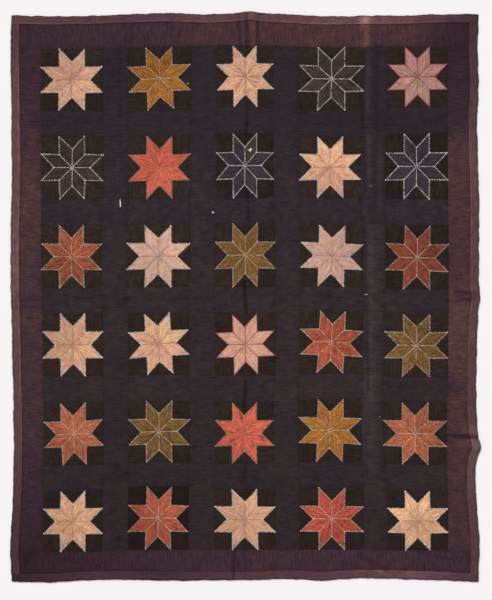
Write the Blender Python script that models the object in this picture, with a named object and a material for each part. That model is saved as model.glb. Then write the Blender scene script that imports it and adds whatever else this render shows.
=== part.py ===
"""Star quilt: a pieced bed cover of thirty eight-pointed stars, lying flat and face up.

The quilt lies in the X and Y plane with its underside on z = 0, its head edge towards +Y and the
middle of its outline at the origin. The seams run along numbered lines. Across the quilt they are
the outer edge, the binding seam, the two seams of each column of blocks, the other binding seam
and the other edge, and the lines down its length are numbered the same way from the head edge.
A place on the quilt is given by its line numbers, (across, down), and place() gives it in metres.
"""

import math
from collections import namedtuple
from functools import lru_cache

import bmesh
import bpy

# The layout, in metres
COLUMNS = 5
ROWS = 6
PITCH_ACROSS = 0.3277
PITCH_DOWN = 0.3361
BLOCK_WIDTH = 0.240
SASH_WIDTH = PITCH_ACROSS - BLOCK_WIDTH
BORDER_WIDTH = 0.090
BINDING_WIDTH = 0.033
FIELD_NORTH = -0.0055
HEAD_EDGE = 1.0763
FOOT_EDGE = -1.0775
LEFT_EDGE = -0.8898
RIGHT_EDGE = 0.8856
CENTRE_EAST = 0.0
CENTRE_NORTH = 0.0026

# Heights above the surface, in metres
SEAM_TOP = 0.0044
PUFF = 0.0017
PUFF_REACH = 0.009
FULL_PUFF = 3 * PUFF_REACH
POCKET_FLOOR = 0.0020
CUTTER_TOP = 0.022
LOWEST_TOP = 0.0034
BINDING_RIDGE = 0.0012
BINDING_SHOULDER = 0.0009
BINDING_LIP = 0.0022
EDGE_WAVE_SHARE = 0.20
EDGE_WAVE_REACH = 0.11

# The clearance between pieces, and how much of its block a star takes up
GAP = 0.0003
STAR_SHARE = 0.965
STAR_BEVEL = 1.6 * PUFF_REACH

# A place this near to a seam, in shares of its piece, counts as on it
ON_SEAM = 0.01

MM = 0.001
LAST_ACROSS = 2 * COLUMNS + 3
LAST_DOWN = 2 * ROWS + 3
TIP = math.tan(math.radians(22.5))
NOTCH = 2.0 - math.sqrt(2.0)

# Each block's cloth, how far its middle has wandered from the even grid, its own size, all in
# millimetres, and how far its star is turned, in degrees anticlockwise
Block = namedtuple("Block", "row col cloth east north wide tall turn")
BLOCKS = [
    Block(1, 1, "peach", -4, -7, 236, 234, 0),
    Block(1, 2, "ochre", 2, -1, 242, 242, 2),
    Block(1, 3, "peach", 0, 7, 215, 236, 1),
    Block(1, 4, "charcoal", 1, -3, 248, 242, 0),
    Block(1, 5, "rose_tan", 1, 5, 229, 234, 0),
    Block(2, 1, "charcoal", -3, -4, 238, 242, 0),
    Block(2, 2, "coral", 1, -4, 236, 238, 0),
    Block(2, 3, "navy", -1, 3, 217, 246, 0),
    Block(2, 4, "apricot", -5, -3, 234, 232, 0),
    Block(2, 5, "navy", -3, 0, 238, 250, 0),
    Block(3, 1, "rust", -6, -8, 229, 240, 0),
    Block(3, 2, "pale_pink", -3, -5, 242, 234, 0),
    Block(3, 3, "moss", 0, -1, 230, 244, 0),
    Block(3, 4, "pale_pink", 2, -4, 238, 236, -2),
    Block(3, 5, "maroon", -1, -11, 240, 246, -1),
    Block(4, 1, "apricot", 0, -7, 231, 240, 0),
    Block(4, 2, "apricot", -1, -2, 232, 236, 3),
    Block(4, 3, "pink", 1, -5, 229, 238, 2),
    Block(4, 4, "brick", 1, 3, 240, 238, -2),
    Block(4, 5, "olive", -4, -9, 244, 240, 0),
    Block(5, 1, "salmon", 3, -10, 229, 240, 2),
    Block(5, 2, "olive", 0, -1, 234, 236, 0),
    Block(5, 3, "coral", -3, -7, 223, 232, 0),
    Block(5, 4, "ochre", -5, 4, 242, 238, -1),
    Block(5, 5, "salmon", -9, -9, 242, 236, 0),
    Block(6, 1, "straw", -1, -7, 225, 230, 0),
    Block(6, 2, "brick", -3, 6, 230, 242, -1),
    Block(6, 3, "peach", -1, 1, 232, 230, 0),
    Block(6, 4, "rose_red", 2, 4, 242, 236, 0),
    Block(6, 5, "straw", 2, -4, 230, 225, 0),
]

# How far each edge stands out from a straight line, in millimetres, at even steps along it, from
# the head to the foot or from left to right
EDGE_OUT = {
    "left": [1, 4, 2, 1, -1, 0, 3, 4, 2, -1, -4, -7, -8, -7, -2, 5, 0],
    "right": [3, 0, 3, -2, 0, 4, 5, 4, 4, -2, -5, -5, 0, -8, -2, 7, 3],
    "head": [-2, -5, -3, 2, 7, 2, 8, 3, -5, -3, -2, 2, 3],
    "foot": [6, 7, -1, -3, 1, 0, 0, -6, 0, -8, -5, -1, 6],
}

# Narrow bulges on top of that: where along the edge in metres, how far out and how wide
Bulge = namedtuple("Bulge", "edge at out_mm reach")
BULGES = [
    Bulge("head", 0.020, 6, 0.030),
    Bulge("right", 0.010, 5, 0.030),
    Bulge("right", -0.562, 12, 0.032),
]

# The main folds: both ends in metres, how far they lift the cloth in millimetres, half their width
Fold = namedtuple("Fold", "name start end lift_mm width")
FOLDS = [
    Fold("middle fold", (0.010, 1.08), (0.000, -1.08), -0.8, 0.009),
    Fold("cross fold", (-0.90, 0.000), (0.90, 0.006), -0.8, 0.010),
    Fold("head ripple", (0.022, 1.09), (0.030, 0.95), 1.8, 0.012),
    Fold("sash ridge, head", (0.457, 1.08), (0.487, 0.78), 1.5, 0.012),
    Fold("sash ridge, upper", (0.487, 0.78), (0.468, 0.38), 1.5, 0.012),
    Fold("sash ridge, lower", (0.468, 0.38), (0.488, -0.40), 2.0, 0.013),
    Fold("sash ridge, foot", (0.488, -0.40), (0.484, -0.74), 1.6, 0.013),
    Fold("left crease", (-0.90, -0.020), (-0.79, -0.014), -1.4, 0.008),
    Fold("tuck", (0.800, -0.530), (0.905, -0.538), -3.0, 0.007),
    Fold("roll above the tuck", (0.840, -0.508), (0.890, -0.512), 2.4, 0.013),
    Fold("roll below the tuck", (0.820, -0.560), (0.895, -0.566), 3.6, 0.018),
]

# The gentle swells of cloth that never lies quite flat: the length of a swell in metres, the way
# that it runs in degrees from east, and its lift in millimetres
Swell = namedtuple("Swell", "length heading lift_mm")
SWELLS = [
    Swell(0.47, 20, 0.30),
    Swell(0.31, 75, 0.25),
    Swell(0.23, 130, 0.20),
    Swell(0.17, -35, 0.15),
]

# The cloths, as sRGB colours
CLOTHS = {
    "peach": "CD9F7C",
    "ochre": "98622B",
    "charcoal": "3E3331",
    "rose_tan": "A67F6D",
    "coral": "C25F48",
    "navy": "3C313A",
    "apricot": "DAAA82",
    "rust": "8D4933",
    "pale_pink": "C69C88",
    "moss": "755630",
    "maroon": "793E30",
    "pink": "CB9E82",
    "brick": "A04F3B",
    "olive": "6D4F2D",
    "salmon": "A55E42",
    "straw": "D0A177",
    "rose_red": "A3493C",
    "ground": "312925",
    "sash": "33292E",
    "border": "43303A",
    "binding": "5D4247",
}
ROUGHNESS = 0.9

# Grid stops across each kind of piece, in shares of its width: its seams and what lies between
BLOCK_STOPS = [0.0, 0.11, (1 - TIP) / 2, 0.5, (1 + TIP) / 2, 0.89, 1.0]
SASH_STOPS = [0.0, 0.28, 0.52, 0.78, 1.0]
BORDER_STOPS = [0.0, 0.2, 0.8, 1.0]
BINDING_STOPS = [0.0, 0.12, 0.3, 0.85, 1.0]

# Further stops along the borders and the binding, where a fold or a bulge needs them
FOLD_STOPS = {
    "left": [7.44, 7.56],
    "right": [7.25, 7.75, 11.10, 11.22, 11.34, 11.42, 11.62, 11.75, 11.88],
    "head": [6.40, 6.60, 6.72],
    "foot": [6.40, 6.60],
}


def clear_scene():
    """Removes what a new file starts with."""
    for thing in list(bpy.data.objects):
        bpy.data.objects.remove(thing, do_unlink=True)


def new_collection(name):
    """A collection in the scene."""
    collection = bpy.data.collections.new(name)
    bpy.context.scene.collection.children.link(collection)
    return collection


def cloth_material(name):
    """A matt cloth in the colour that the table gives."""
    code = CLOTHS[name]
    channels = [int(code[i : i + 2], 16) / 255 for i in (0, 2, 4)]
    linear = [c / 12.92 if c <= 0.04045 else ((c + 0.055) / 1.055) ** 2.4 for c in channels]
    material = bpy.data.materials.new(name)
    material.use_nodes = True
    shader = material.node_tree.nodes["Principled BSDF"]
    shader.inputs["Base Color"].default_value = (*linear, 1.0)
    shader.inputs["Roughness"].default_value = ROUGHNESS
    shader.inputs["Metallic"].default_value = 0.0
    material.diffuse_color = (*linear, 1.0)
    return material


def between(values, at):
    """The value at a place between even stations, on a smooth curve held level past the ends."""
    last = len(values) - 1
    at = min(max(at, 0.0), float(last))
    i = min(int(at), last - 1)
    f = at - i
    before, here, after, beyond = (values[min(max(i + k, 0), last)] for k in (-1, 0, 1, 2))
    slope = after - before
    bend = 2 * before - 5 * here + 4 * after - beyond
    twist = 3 * (here - after) + beyond - before
    return here + 0.5 * f * (slope + f * (bend + f * twist))


def block_at(row, col):
    """The block's row in the table."""
    return BLOCKS[(row - 1) * COLUMNS + col - 1]


def outward(edge, along):
    """How far an edge stands out at a place along it, in metres from the middle."""
    if edge in ("left", "right"):
        share = (HEAD_EDGE - along) / (HEAD_EDGE - FOOT_EDGE)
    else:
        share = (along - LEFT_EDGE) / (RIGHT_EDGE - LEFT_EDGE)
    stations = EDGE_OUT[edge]
    out = between(stations, share * (len(stations) - 1))
    for bulge in BULGES:
        if bulge.edge == edge:
            out += bulge.out_mm * math.exp(-(((along - bulge.at) / bulge.reach) ** 2))
    return out * MM


def even_north(down):
    """Where a line across the quilt would lie on the even grid."""
    top = FIELD_NORTH + (ROWS / 2) * PITCH_DOWN
    lines = [HEAD_EDGE, HEAD_EDGE - BINDING_WIDTH]
    for row in range(ROWS):
        middle = top - (row + 0.5) * PITCH_DOWN
        lines += [middle + BLOCK_WIDTH / 2, middle - BLOCK_WIDTH / 2]
    lines += [FOOT_EDGE + BINDING_WIDTH, FOOT_EDGE]
    i = min(int(down), LAST_DOWN - 1)
    return lines[i] + (down - i) * (lines[i + 1] - lines[i])


def even_east(across):
    """Where a line down the quilt would lie on the even grid."""
    lines = [LEFT_EDGE, LEFT_EDGE + BINDING_WIDTH]
    for col in range(COLUMNS):
        middle = (col - (COLUMNS - 1) / 2) * PITCH_ACROSS
        lines += [middle - BLOCK_WIDTH / 2, middle + BLOCK_WIDTH / 2]
    lines += [RIGHT_EDGE - BINDING_WIDTH, RIGHT_EDGE]
    i = min(int(across), LAST_ACROSS - 1)
    return lines[i] + (across - i) * (lines[i + 1] - lines[i])


@lru_cache(maxsize=None)
def smooth_east(line, down):
    """Where a line that runs down the quilt lies, at a place down its length."""
    if line <= 1:
        return LEFT_EDGE - outward("left", even_north(down)) + line * BINDING_WIDTH
    if line >= LAST_ACROSS - 1:
        inward = (LAST_ACROSS - line) * BINDING_WIDTH
        return RIGHT_EDGE + outward("right", even_north(down)) - inward
    col = line // 2
    side = -0.5 if line % 2 == 0 else 0.5
    middle = (col - (COLUMNS + 1) / 2) * PITCH_ACROSS
    blocks = [block_at(row, col) for row in range(1, ROWS + 1)]
    shifts = [(block.east + side * block.wide) * MM for block in blocks]
    return middle + between(shifts, (down - 2.5) / 2)


@lru_cache(maxsize=None)
def smooth_north(line, across):
    """Where a line that runs across the quilt lies, at a place across its width."""
    if line <= 1:
        return HEAD_EDGE + outward("head", even_east(across)) - line * BINDING_WIDTH
    if line >= LAST_DOWN - 1:
        inward = (LAST_DOWN - line) * BINDING_WIDTH
        return FOOT_EDGE - outward("foot", even_east(across)) + inward
    row = line // 2
    side = 0.5 if line % 2 == 0 else -0.5
    middle = FIELD_NORTH + ((ROWS + 1) / 2 - row) * PITCH_DOWN
    blocks = [block_at(row, col) for col in range(1, COLUMNS + 1)]
    shifts = [(block.north + side * block.tall) * MM for block in blocks]
    return middle + between(shifts, (across - 2.5) / 2)


def line_at(curve, line, last, at):
    """A line's place: smooth near the edges, and straight between half steps where seams meet."""
    if line <= 1 or line >= last - 1:
        return curve(line, at)
    step = math.floor(at * 2) / 2
    f = (at - step) * 2
    if f < 1e-6:
        return curve(line, step)
    return (1 - f) * curve(line, step) + f * curve(line, step + 0.5)


def place(across, down):
    """East and north of a place on the quilt, in metres."""
    i = min(int(across), LAST_ACROSS - 1)
    j = min(int(down), LAST_DOWN - 1)
    f = across - i
    g = down - j
    left, right = (line_at(smooth_east, k, LAST_ACROSS, down) for k in (i, i + 1))
    upper, lower = (line_at(smooth_north, k, LAST_DOWN, across) for k in (j, j + 1))
    return (1 - f) * left + f * right - CENTRE_EAST, (1 - g) * upper + g * lower - CENTRE_NORTH


def from_segment(point, start, end):
    """Distance from a point to a straight line between two ends."""
    px, py = point[0] - start[0], point[1] - start[1]
    dx, dy = end[0] - start[0], end[1] - start[1]
    share = min(max((px * dx + py * dy) / (dx * dx + dy * dy), 0.0), 1.0)
    return math.hypot(px - share * dx, py - share * dy)


def fold_lift(east, north):
    """How far the swells, the folds and the full edges lift the cloth at a place."""
    lift = 0.0
    for swell in SWELLS:
        heading = math.radians(swell.heading)
        run = east * math.cos(heading) + north * math.sin(heading)
        lift += swell.lift_mm * MM * math.sin(2 * math.pi * run / swell.length)
    for fold in FOLDS:
        distance = from_segment((east, north), fold.start, fold.end)
        lift += fold.lift_mm * MM * math.exp(-((distance / fold.width) ** 2))
    edges = (
        ("left", east - LEFT_EDGE, north),
        ("right", RIGHT_EDGE - east, north),
        ("head", HEAD_EDGE - north, east),
        ("foot", north - FOOT_EDGE, east),
    )
    for edge, inward, along in edges:
        near = max(0.0, 1.0 - inward / EDGE_WAVE_REACH)
        lift += EDGE_WAVE_SHARE * near * max(0.0, outward(edge, along))
    return lift


def top_at(east, north, from_seam):
    """Height of the top at a place, so far from the nearest seam."""
    puff = PUFF * (1.0 - math.exp(-from_seam / PUFF_REACH))
    return max(LOWEST_TOP, SEAM_TOP + puff + fold_lift(east, north))


def thicken(bm, floor):
    """Closes an open top sheet with straight walls down to a flat underside."""
    made = bmesh.ops.extrude_face_region(bm, geom=bm.faces[:])
    lowered = {v for v in made["geom"] if isinstance(v, bmesh.types.BMVert)}
    for vertex in lowered:
        vertex.co.z = floor
    underside = [face for face in bm.faces if all(v in lowered for v in face.verts)]
    bmesh.ops.dissolve_faces(bm, faces=underside)
    bmesh.ops.recalc_face_normals(bm, faces=bm.faces)


def add_piece(name, bm, cloth, collection, parent, origin):
    """Turns a bmesh in the quilt's frame into an object with its origin on the surface."""
    bmesh.ops.translate(bm, verts=bm.verts, vec=(-origin[0], -origin[1], 0.0))
    mesh = bpy.data.meshes.new(name)
    bm.to_mesh(mesh)
    bm.free()
    piece = bpy.data.objects.new(name, mesh)
    piece.location = (origin[0], origin[1], 0.0)
    piece.parent = parent
    if cloth:
        mesh.materials.append(cloth)
    collection.objects.link(piece)
    return piece


def inset_ends(stops, width):
    """Draws the first and last stop in by half a gap, given the width of the line intervals there."""
    inset = GAP / 2 / width
    return [stops[0] + inset] + stops[1:-1] + [stops[-1] - inset]


def grid_piece(across_stops, down_stops, height):
    """A closed sheet on a grid of stops, its top given by height(across, down, east, north)."""
    wide = len(across_stops) - 1
    tall = len(down_stops) - 1
    bm = bmesh.new()
    bmesh.ops.create_grid(bm, x_segments=wide, y_segments=tall, size=1.0)
    for vertex in bm.verts:
        across = across_stops[round((vertex.co.x + 1) / 2 * wide)]
        down = down_stops[round((1 - vertex.co.y) / 2 * tall)]
        east, north = place(across, down)
        vertex.co = (east, north, height(across, down, east, north))
    thicken(bm, 0.0)
    return bm


def half_steps(first, last, extra):
    """Stops at every half step between two lines, and at the folds that need more of them."""
    steps = [first + i / 2 for i in range(int(2 * (last - first)) + 1)]
    return sorted(steps + [at for at in extra if first < at < last])


def to_seam(at):
    """How far a place between two lines is from the nearer of them, in shares of their interval."""
    return min(at - int(at), int(at) + 1 - at)


def strip_height(to_nearest_seam, east, north):
    """Top of a plain strip, low on its seams and puffed between them."""
    return top_at(east, north, 0.0 if to_nearest_seam < ON_SEAM else FULL_PUFF)


def short_sash_height(across, down, east, north):
    """Top of a short sash between its four seams."""
    return strip_height(min(to_seam(across), to_seam(down)), east, north)


def sash_height(across, down, east, north):
    """Top of a long sash or side border between its two long seams and its ends."""
    end = min(down - 2.0, LAST_DOWN - 2.0 - down)
    return strip_height(min(to_seam(across), end), east, north)


def end_height(across, down, east, north):
    """Top of the head or foot border between its two long seams and its ends."""
    end = min(across - 1.0, LAST_ACROSS - 1.0 - across)
    return strip_height(min(to_seam(down), end), east, north)


def block_from_seam(u, v):
    """Distance from the nearest seam in a block's ground, in half block widths."""
    u, v = abs(u), abs(v)
    if u > TIP and v > TIP:
        return min(u - TIP, v - TIP, 1 - u, 1 - v)
    low, high = min(u, v), max(u, v)
    return max(0.0, min((high - low - NOTCH) / math.sqrt(2), 1 - high))


def column_height(across, down, east, north):
    """Top of a column strip: block grounds with their four corners and four sides, and sashes."""
    if int(down) % 2 == 1:
        return short_sash_height(across, down, east, north)
    u = 2 * (across - int(across)) - 1
    v = 2 * (down - int(down)) - 1
    return top_at(east, north, block_from_seam(u, v) * BLOCK_WIDTH / 2)


def build_column(col, cloth, collection, parent):
    """The pieced strip of one column: six block grounds and five short sashes."""
    across_stops = inset_ends([2 * col + share for share in BLOCK_STOPS], BLOCK_WIDTH)
    down_stops = []
    for row in range(1, ROWS + 1):
        down_stops += [2 * row + share for share in BLOCK_STOPS]
        if row < ROWS:
            down_stops.append(2 * row + 1.5)
    down_stops = inset_ends(down_stops, BLOCK_WIDTH)
    bm = grid_piece(across_stops, down_stops, column_height)
    middle = (2 * col + 0.5, LAST_DOWN / 2)
    return add_piece(f"column_{col}", bm, cloth, collection, parent, place(*middle))


def star_place(block, u, v, share):
    """East and north of a point of a block's star, from its middle in half block widths."""
    turn = math.radians(block.turn)
    u, v = share * u, share * v
    turned_u = u * math.cos(turn) - v * math.sin(turn)
    turned_v = u * math.sin(turn) + v * math.cos(turn)
    return place(2 * block.col + 0.5 + turned_u / 2, 2 * block.row + 0.5 - turned_v / 2)


def star_sheet(share, fan):
    """A flat eight-pointed star in half block widths, as a fan of diamonds or as one face."""
    bm = bmesh.new()
    bmesh.ops.create_circle(bm, cap_ends=True, cap_tris=fan, segments=16, radius=1.0)
    for vertex in bm.verts:
        if vertex.co.length < 0.5:
            continue
        angle = math.atan2(vertex.co.y, vertex.co.x)
        eighth = round(angle / math.radians(22.5))
        radius = NOTCH if eighth % 2 == 0 else math.hypot(1.0, TIP)
        angle = eighth * math.radians(22.5)
        vertex.co = (share * radius * math.cos(angle), share * radius * math.sin(angle), 0.0)
    if fan:
        spokes = [
            edge
            for edge in bm.edges
            if min(v.co.length for v in edge.verts) < 0.1
            and max(v.co.length for v in edge.verts) > 0.9 * share
        ]
        bmesh.ops.dissolve_edges(bm, edges=spokes)
    return bm


def build_star(block, cloth, collection, parent):
    """A star of eight puffed diamonds, lying in its pocket in the column strip."""
    half = BLOCK_WIDTH / 2
    bm = star_sheet(1.0, fan=True)
    seams = set(bm.verts)
    bmesh.ops.inset_individual(
        bm, faces=bm.faces[:], thickness=STAR_BEVEL / half, use_even_offset=True
    )
    clear = STAR_SHARE - GAP / (TIP * half)
    for vertex in bm.verts:
        east, north = star_place(block, vertex.co.x, vertex.co.y, clear)
        from_seam = 0.0 if vertex in seams else FULL_PUFF
        vertex.co = (east, north, top_at(east, north, from_seam))
    thicken(bm, POCKET_FLOOR + GAP)
    name = f"star_{block.row}_{block.col}"
    return add_piece(name, bm, cloth, collection, parent, star_place(block, 0, 0, 1))


def build_pockets(col, collection, parent):
    """The star-shaped cutters of one column, which leave a thin bed under each star."""
    bm = bmesh.new()
    for row in range(1, ROWS + 1):
        block = block_at(row, col)
        star = star_sheet(STAR_SHARE, fan=False)
        for vertex in star.verts:
            east, north = star_place(block, vertex.co.x, vertex.co.y, 1.0)
            vertex.co = (east, north, POCKET_FLOOR)
        lifted = bmesh.ops.extrude_face_region(star, geom=star.faces[:])
        for vertex in lifted["geom"]:
            if isinstance(vertex, bmesh.types.BMVert):
                vertex.co.z = CUTTER_TOP
        bmesh.ops.recalc_face_normals(star, faces=star.faces)
        mesh = bpy.data.meshes.new(f"pocket_{row}_{col}")
        star.to_mesh(mesh)
        star.free()
        bm.from_mesh(mesh)
        bpy.data.meshes.remove(mesh)
    cutter = add_piece(f"pockets_{col}", bm, None, collection, parent, (0.0, 0.0))
    cutter.hide_render = True
    cutter.display_type = "WIRE"
    return cutter


def cut_pockets(column, cutter):
    """Sinks the stars' pockets into a column strip."""
    cut = column.modifiers.new("pockets", "BOOLEAN")
    cut.operation = "DIFFERENCE"
    cut.solver = "EXACT"
    cut.object = cutter


def build_long_sash(number, cloth, collection, parent):
    """The sash between two columns of blocks, in one length."""
    first = 2 * number + 1
    across_stops = inset_ends([first + share for share in SASH_STOPS], SASH_WIDTH)
    down_stops = inset_ends(half_steps(2.0, LAST_DOWN - 2.0, []), BLOCK_WIDTH)
    bm = grid_piece(across_stops, down_stops, sash_height)
    return add_piece(
        f"long_sash_{number}", bm, cloth, collection, parent, place(first + 0.5, LAST_DOWN / 2)
    )


def build_side_border(side, cloth, collection, parent):
    """A border strip down one side of the pieced field."""
    first = 1 if side == "left" else LAST_ACROSS - 2
    across_stops = inset_ends([first + share for share in BORDER_STOPS], BORDER_WIDTH)
    stops = half_steps(2.0, LAST_DOWN - 2.0, FOLD_STOPS[side])
    down_stops = inset_ends(stops, BLOCK_WIDTH)
    bm = grid_piece(across_stops, down_stops, sash_height)
    return add_piece(
        f"border_{side}", bm, cloth, collection, parent, place(first + 0.5, LAST_DOWN / 2)
    )


def build_end_border(side, cloth, collection, parent):
    """A border strip across the head or foot, from binding to binding."""
    first = 1 if side == "head" else LAST_DOWN - 2
    down_stops = inset_ends([first + share for share in BORDER_STOPS], BORDER_WIDTH)
    stops = half_steps(1.0, LAST_ACROSS - 1.0, FOLD_STOPS[side])
    across_stops = inset_ends(stops, BORDER_WIDTH)
    bm = grid_piece(across_stops, down_stops, end_height)
    return add_piece(
        f"border_{side}", bm, cloth, collection, parent, place(LAST_ACROSS / 2, first + 0.5)
    )


def nearest_stop(inward_share):
    """The number of the binding stop at a share of its width."""
    return min(range(len(BINDING_STOPS)), key=lambda i: abs(BINDING_STOPS[i] - inward_share))


def binding_height(inward_share, east, north):
    """Top of the binding: a ridge along its stitched seam, flat cloth, then the rolled edge."""
    top = top_at(east, north, FULL_PUFF)
    heights = [BINDING_LIP, top - BINDING_SHOULDER, top, top, top + BINDING_RIDGE]
    return heights[nearest_stop(inward_share)]


def build_side_binding(side, cloth, collection, parent):
    """The binding down one side, between the head and foot bindings."""
    left = side == "left"
    first = 0 if left else LAST_ACROSS - 1
    shares = BINDING_STOPS if left else [1 - share for share in reversed(BINDING_STOPS)]
    across_stops = inset_ends([first + share for share in shares], BINDING_WIDTH)
    stops = [1.0 + share for share in BORDER_STOPS[:-1]]
    stops += half_steps(2.0, LAST_DOWN - 2.0, FOLD_STOPS[side])
    stops += [LAST_DOWN - 2.0 + share for share in BORDER_STOPS[1:]]
    down_stops = inset_ends(stops, BORDER_WIDTH)

    def height(across, down, east, north):
        inward = across - first if left else first + 1 - across
        return binding_height(inward, east, north)

    bm = grid_piece(across_stops, down_stops, height)
    return add_piece(
        f"binding_{side}", bm, cloth, collection, parent, place(first + 0.5, LAST_DOWN / 2)
    )


def build_end_binding(side, cloth, collection, parent):
    """The binding across the head or foot, over the full width."""
    head = side == "head"
    first = 0 if head else LAST_DOWN - 1
    shares = BINDING_STOPS if head else [1 - share for share in reversed(BINDING_STOPS)]
    down_stops = inset_ends([first + share for share in shares], BINDING_WIDTH)
    stops = BINDING_STOPS[:-1] + half_steps(1.0, LAST_ACROSS - 1.0, FOLD_STOPS[side])
    stops += [LAST_ACROSS - share for share in reversed(BINDING_STOPS[:-1])]
    across_stops = inset_ends(stops, BINDING_WIDTH)

    def height(across, down, east, north):
        inward = down - first if head else first + 1 - down
        from_corner = min(across, LAST_ACROSS - across)
        rolled_over = binding_height(min(from_corner, inward), east, north)
        return min(binding_height(inward, east, north), rolled_over)

    bm = grid_piece(across_stops, down_stops, height)
    return add_piece(
        f"binding_{side}", bm, cloth, collection, parent, place(LAST_ACROSS / 2, first + 0.5)
    )


def main():
    """Builds the quilt from its strips, borders, bindings and stars."""
    clear_scene()
    quilt = new_collection("star_quilt")
    cutters = new_collection("cutters")
    frame = bpy.data.objects.new("quilt", None)
    quilt.objects.link(frame)
    cloths = {name: cloth_material(name) for name in CLOTHS}
    for col in range(1, COLUMNS + 1):
        column = build_column(col, cloths["ground"], quilt, frame)
        cut_pockets(column, build_pockets(col, cutters, frame))
    for number in range(1, COLUMNS):
        build_long_sash(number, cloths["sash"], quilt, frame)
    for side in ("left", "right"):
        build_side_border(side, cloths["border"], quilt, frame)
        build_side_binding(side, cloths["binding"], quilt, frame)
    for side in ("head", "foot"):
        build_end_border(side, cloths["border"], quilt, frame)
        build_end_binding(side, cloths["binding"], quilt, frame)
    for block in BLOCKS:
        build_star(block, cloths[block.cloth], quilt, frame)


main()
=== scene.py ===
"""Star quilt, dressed: a pieced cover of thirty eight-pointed stars, lying flat and face up.

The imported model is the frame, and each cloth of the quilt is rebuilt here in a finer form on the
same plan. Places are given by line numbers, (across, down), as on a maker's chart: the outer
edge, the binding seam, the seams of each column or row of blocks, the other binding seam and the
other edge. Heights are above the surface that the quilt lies on. All sizes are in metres.
"""

import logging
import math
import random
from collections.abc import Callable, Sequence
from dataclasses import dataclass, field, replace
from enum import Enum

import bmesh
import bpy
import numpy as np
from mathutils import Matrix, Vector, noise

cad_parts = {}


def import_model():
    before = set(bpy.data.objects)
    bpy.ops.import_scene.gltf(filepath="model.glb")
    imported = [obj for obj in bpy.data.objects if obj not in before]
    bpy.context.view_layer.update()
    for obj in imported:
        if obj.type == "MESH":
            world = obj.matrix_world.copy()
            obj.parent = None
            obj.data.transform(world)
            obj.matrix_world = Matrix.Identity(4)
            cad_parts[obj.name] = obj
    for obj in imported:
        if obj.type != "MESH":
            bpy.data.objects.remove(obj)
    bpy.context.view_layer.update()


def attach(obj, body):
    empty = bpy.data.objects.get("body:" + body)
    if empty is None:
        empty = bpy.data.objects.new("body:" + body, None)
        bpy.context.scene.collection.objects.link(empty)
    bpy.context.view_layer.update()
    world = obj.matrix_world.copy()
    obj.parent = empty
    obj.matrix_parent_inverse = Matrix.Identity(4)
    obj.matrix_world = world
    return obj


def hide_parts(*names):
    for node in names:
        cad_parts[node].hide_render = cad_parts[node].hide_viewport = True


log = logging.getLogger("star_quilt")

MM = 0.001
COLUMNS = 5
ROWS = 6
LAST_ACROSS = 2 * COLUMNS + 3
LAST_DOWN = 2 * ROWS + 3
TIP = math.tan(math.radians(22.5))
NOTCH = 2.0 - math.sqrt(2.0)
EIGHTH = math.radians(45.0)
SEAM_HAIR = 0.0004
CHANCE_SEED = 20


class Thread(Enum):
    """The threads that the stars are stitched with."""

    WHITE = "white"
    CREAM = "cream"
    GREY = "grey"
    CRIMSON = "crimson"
    CORAL = "coral"
    MAUVE = "mauve"


class Edge(Enum):
    """The four edges of the quilt."""

    LEFT = "left"
    RIGHT = "right"
    HEAD = "head"
    FOOT = "foot"

    @property
    def level(self) -> bool:
        """Whether the edge runs across the quilt."""
        return self in (Edge.HEAD, Edge.FOOT)

    @property
    def near(self) -> bool:
        """Whether the lines are counted from this edge."""
        return self in (Edge.LEFT, Edge.HEAD)

    @property
    def last(self) -> int:
        """The number of the last line, counted towards or away from this edge."""
        return LAST_DOWN if self.level else LAST_ACROSS

    @property
    def sign(self) -> int:
        """Which way is outward: 1 for east or north, and -1 for west or south."""
        return 1 if self in (Edge.RIGHT, Edge.HEAD) else -1


@dataclass(frozen=True)
class Block:
    """One star block.

    The middle's drift from the even grid and the block's size are in millimetres, and the star's
    turn is in degrees anticlockwise. The shade makes its cloth lighter or darker. Diamonds towards
    the light side, in degrees from east, are lighter by a share. Those towards the aged side have
    drifted most from the cloth's own colour, by a share too. The star may be more creased than
    others, with more painted shade along its crease lines. Its middle may be worn, the ground may
    be darker than elsewhere, and one diamond may be cut from another cloth.
    """

    row: int
    col: int
    cloth: str
    thread: Thread
    east: float
    north: float
    wide: float
    tall: float
    turn: float
    shade: float
    light_side: float
    light_by: float
    aged_side: float | None = None
    aged_by: float = 0.8
    creased: float = 0.0
    worn: float = 0.0
    ground: float = 0.0
    odd_diamond: int | None = None
    odd_cloth: str = ""


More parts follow.
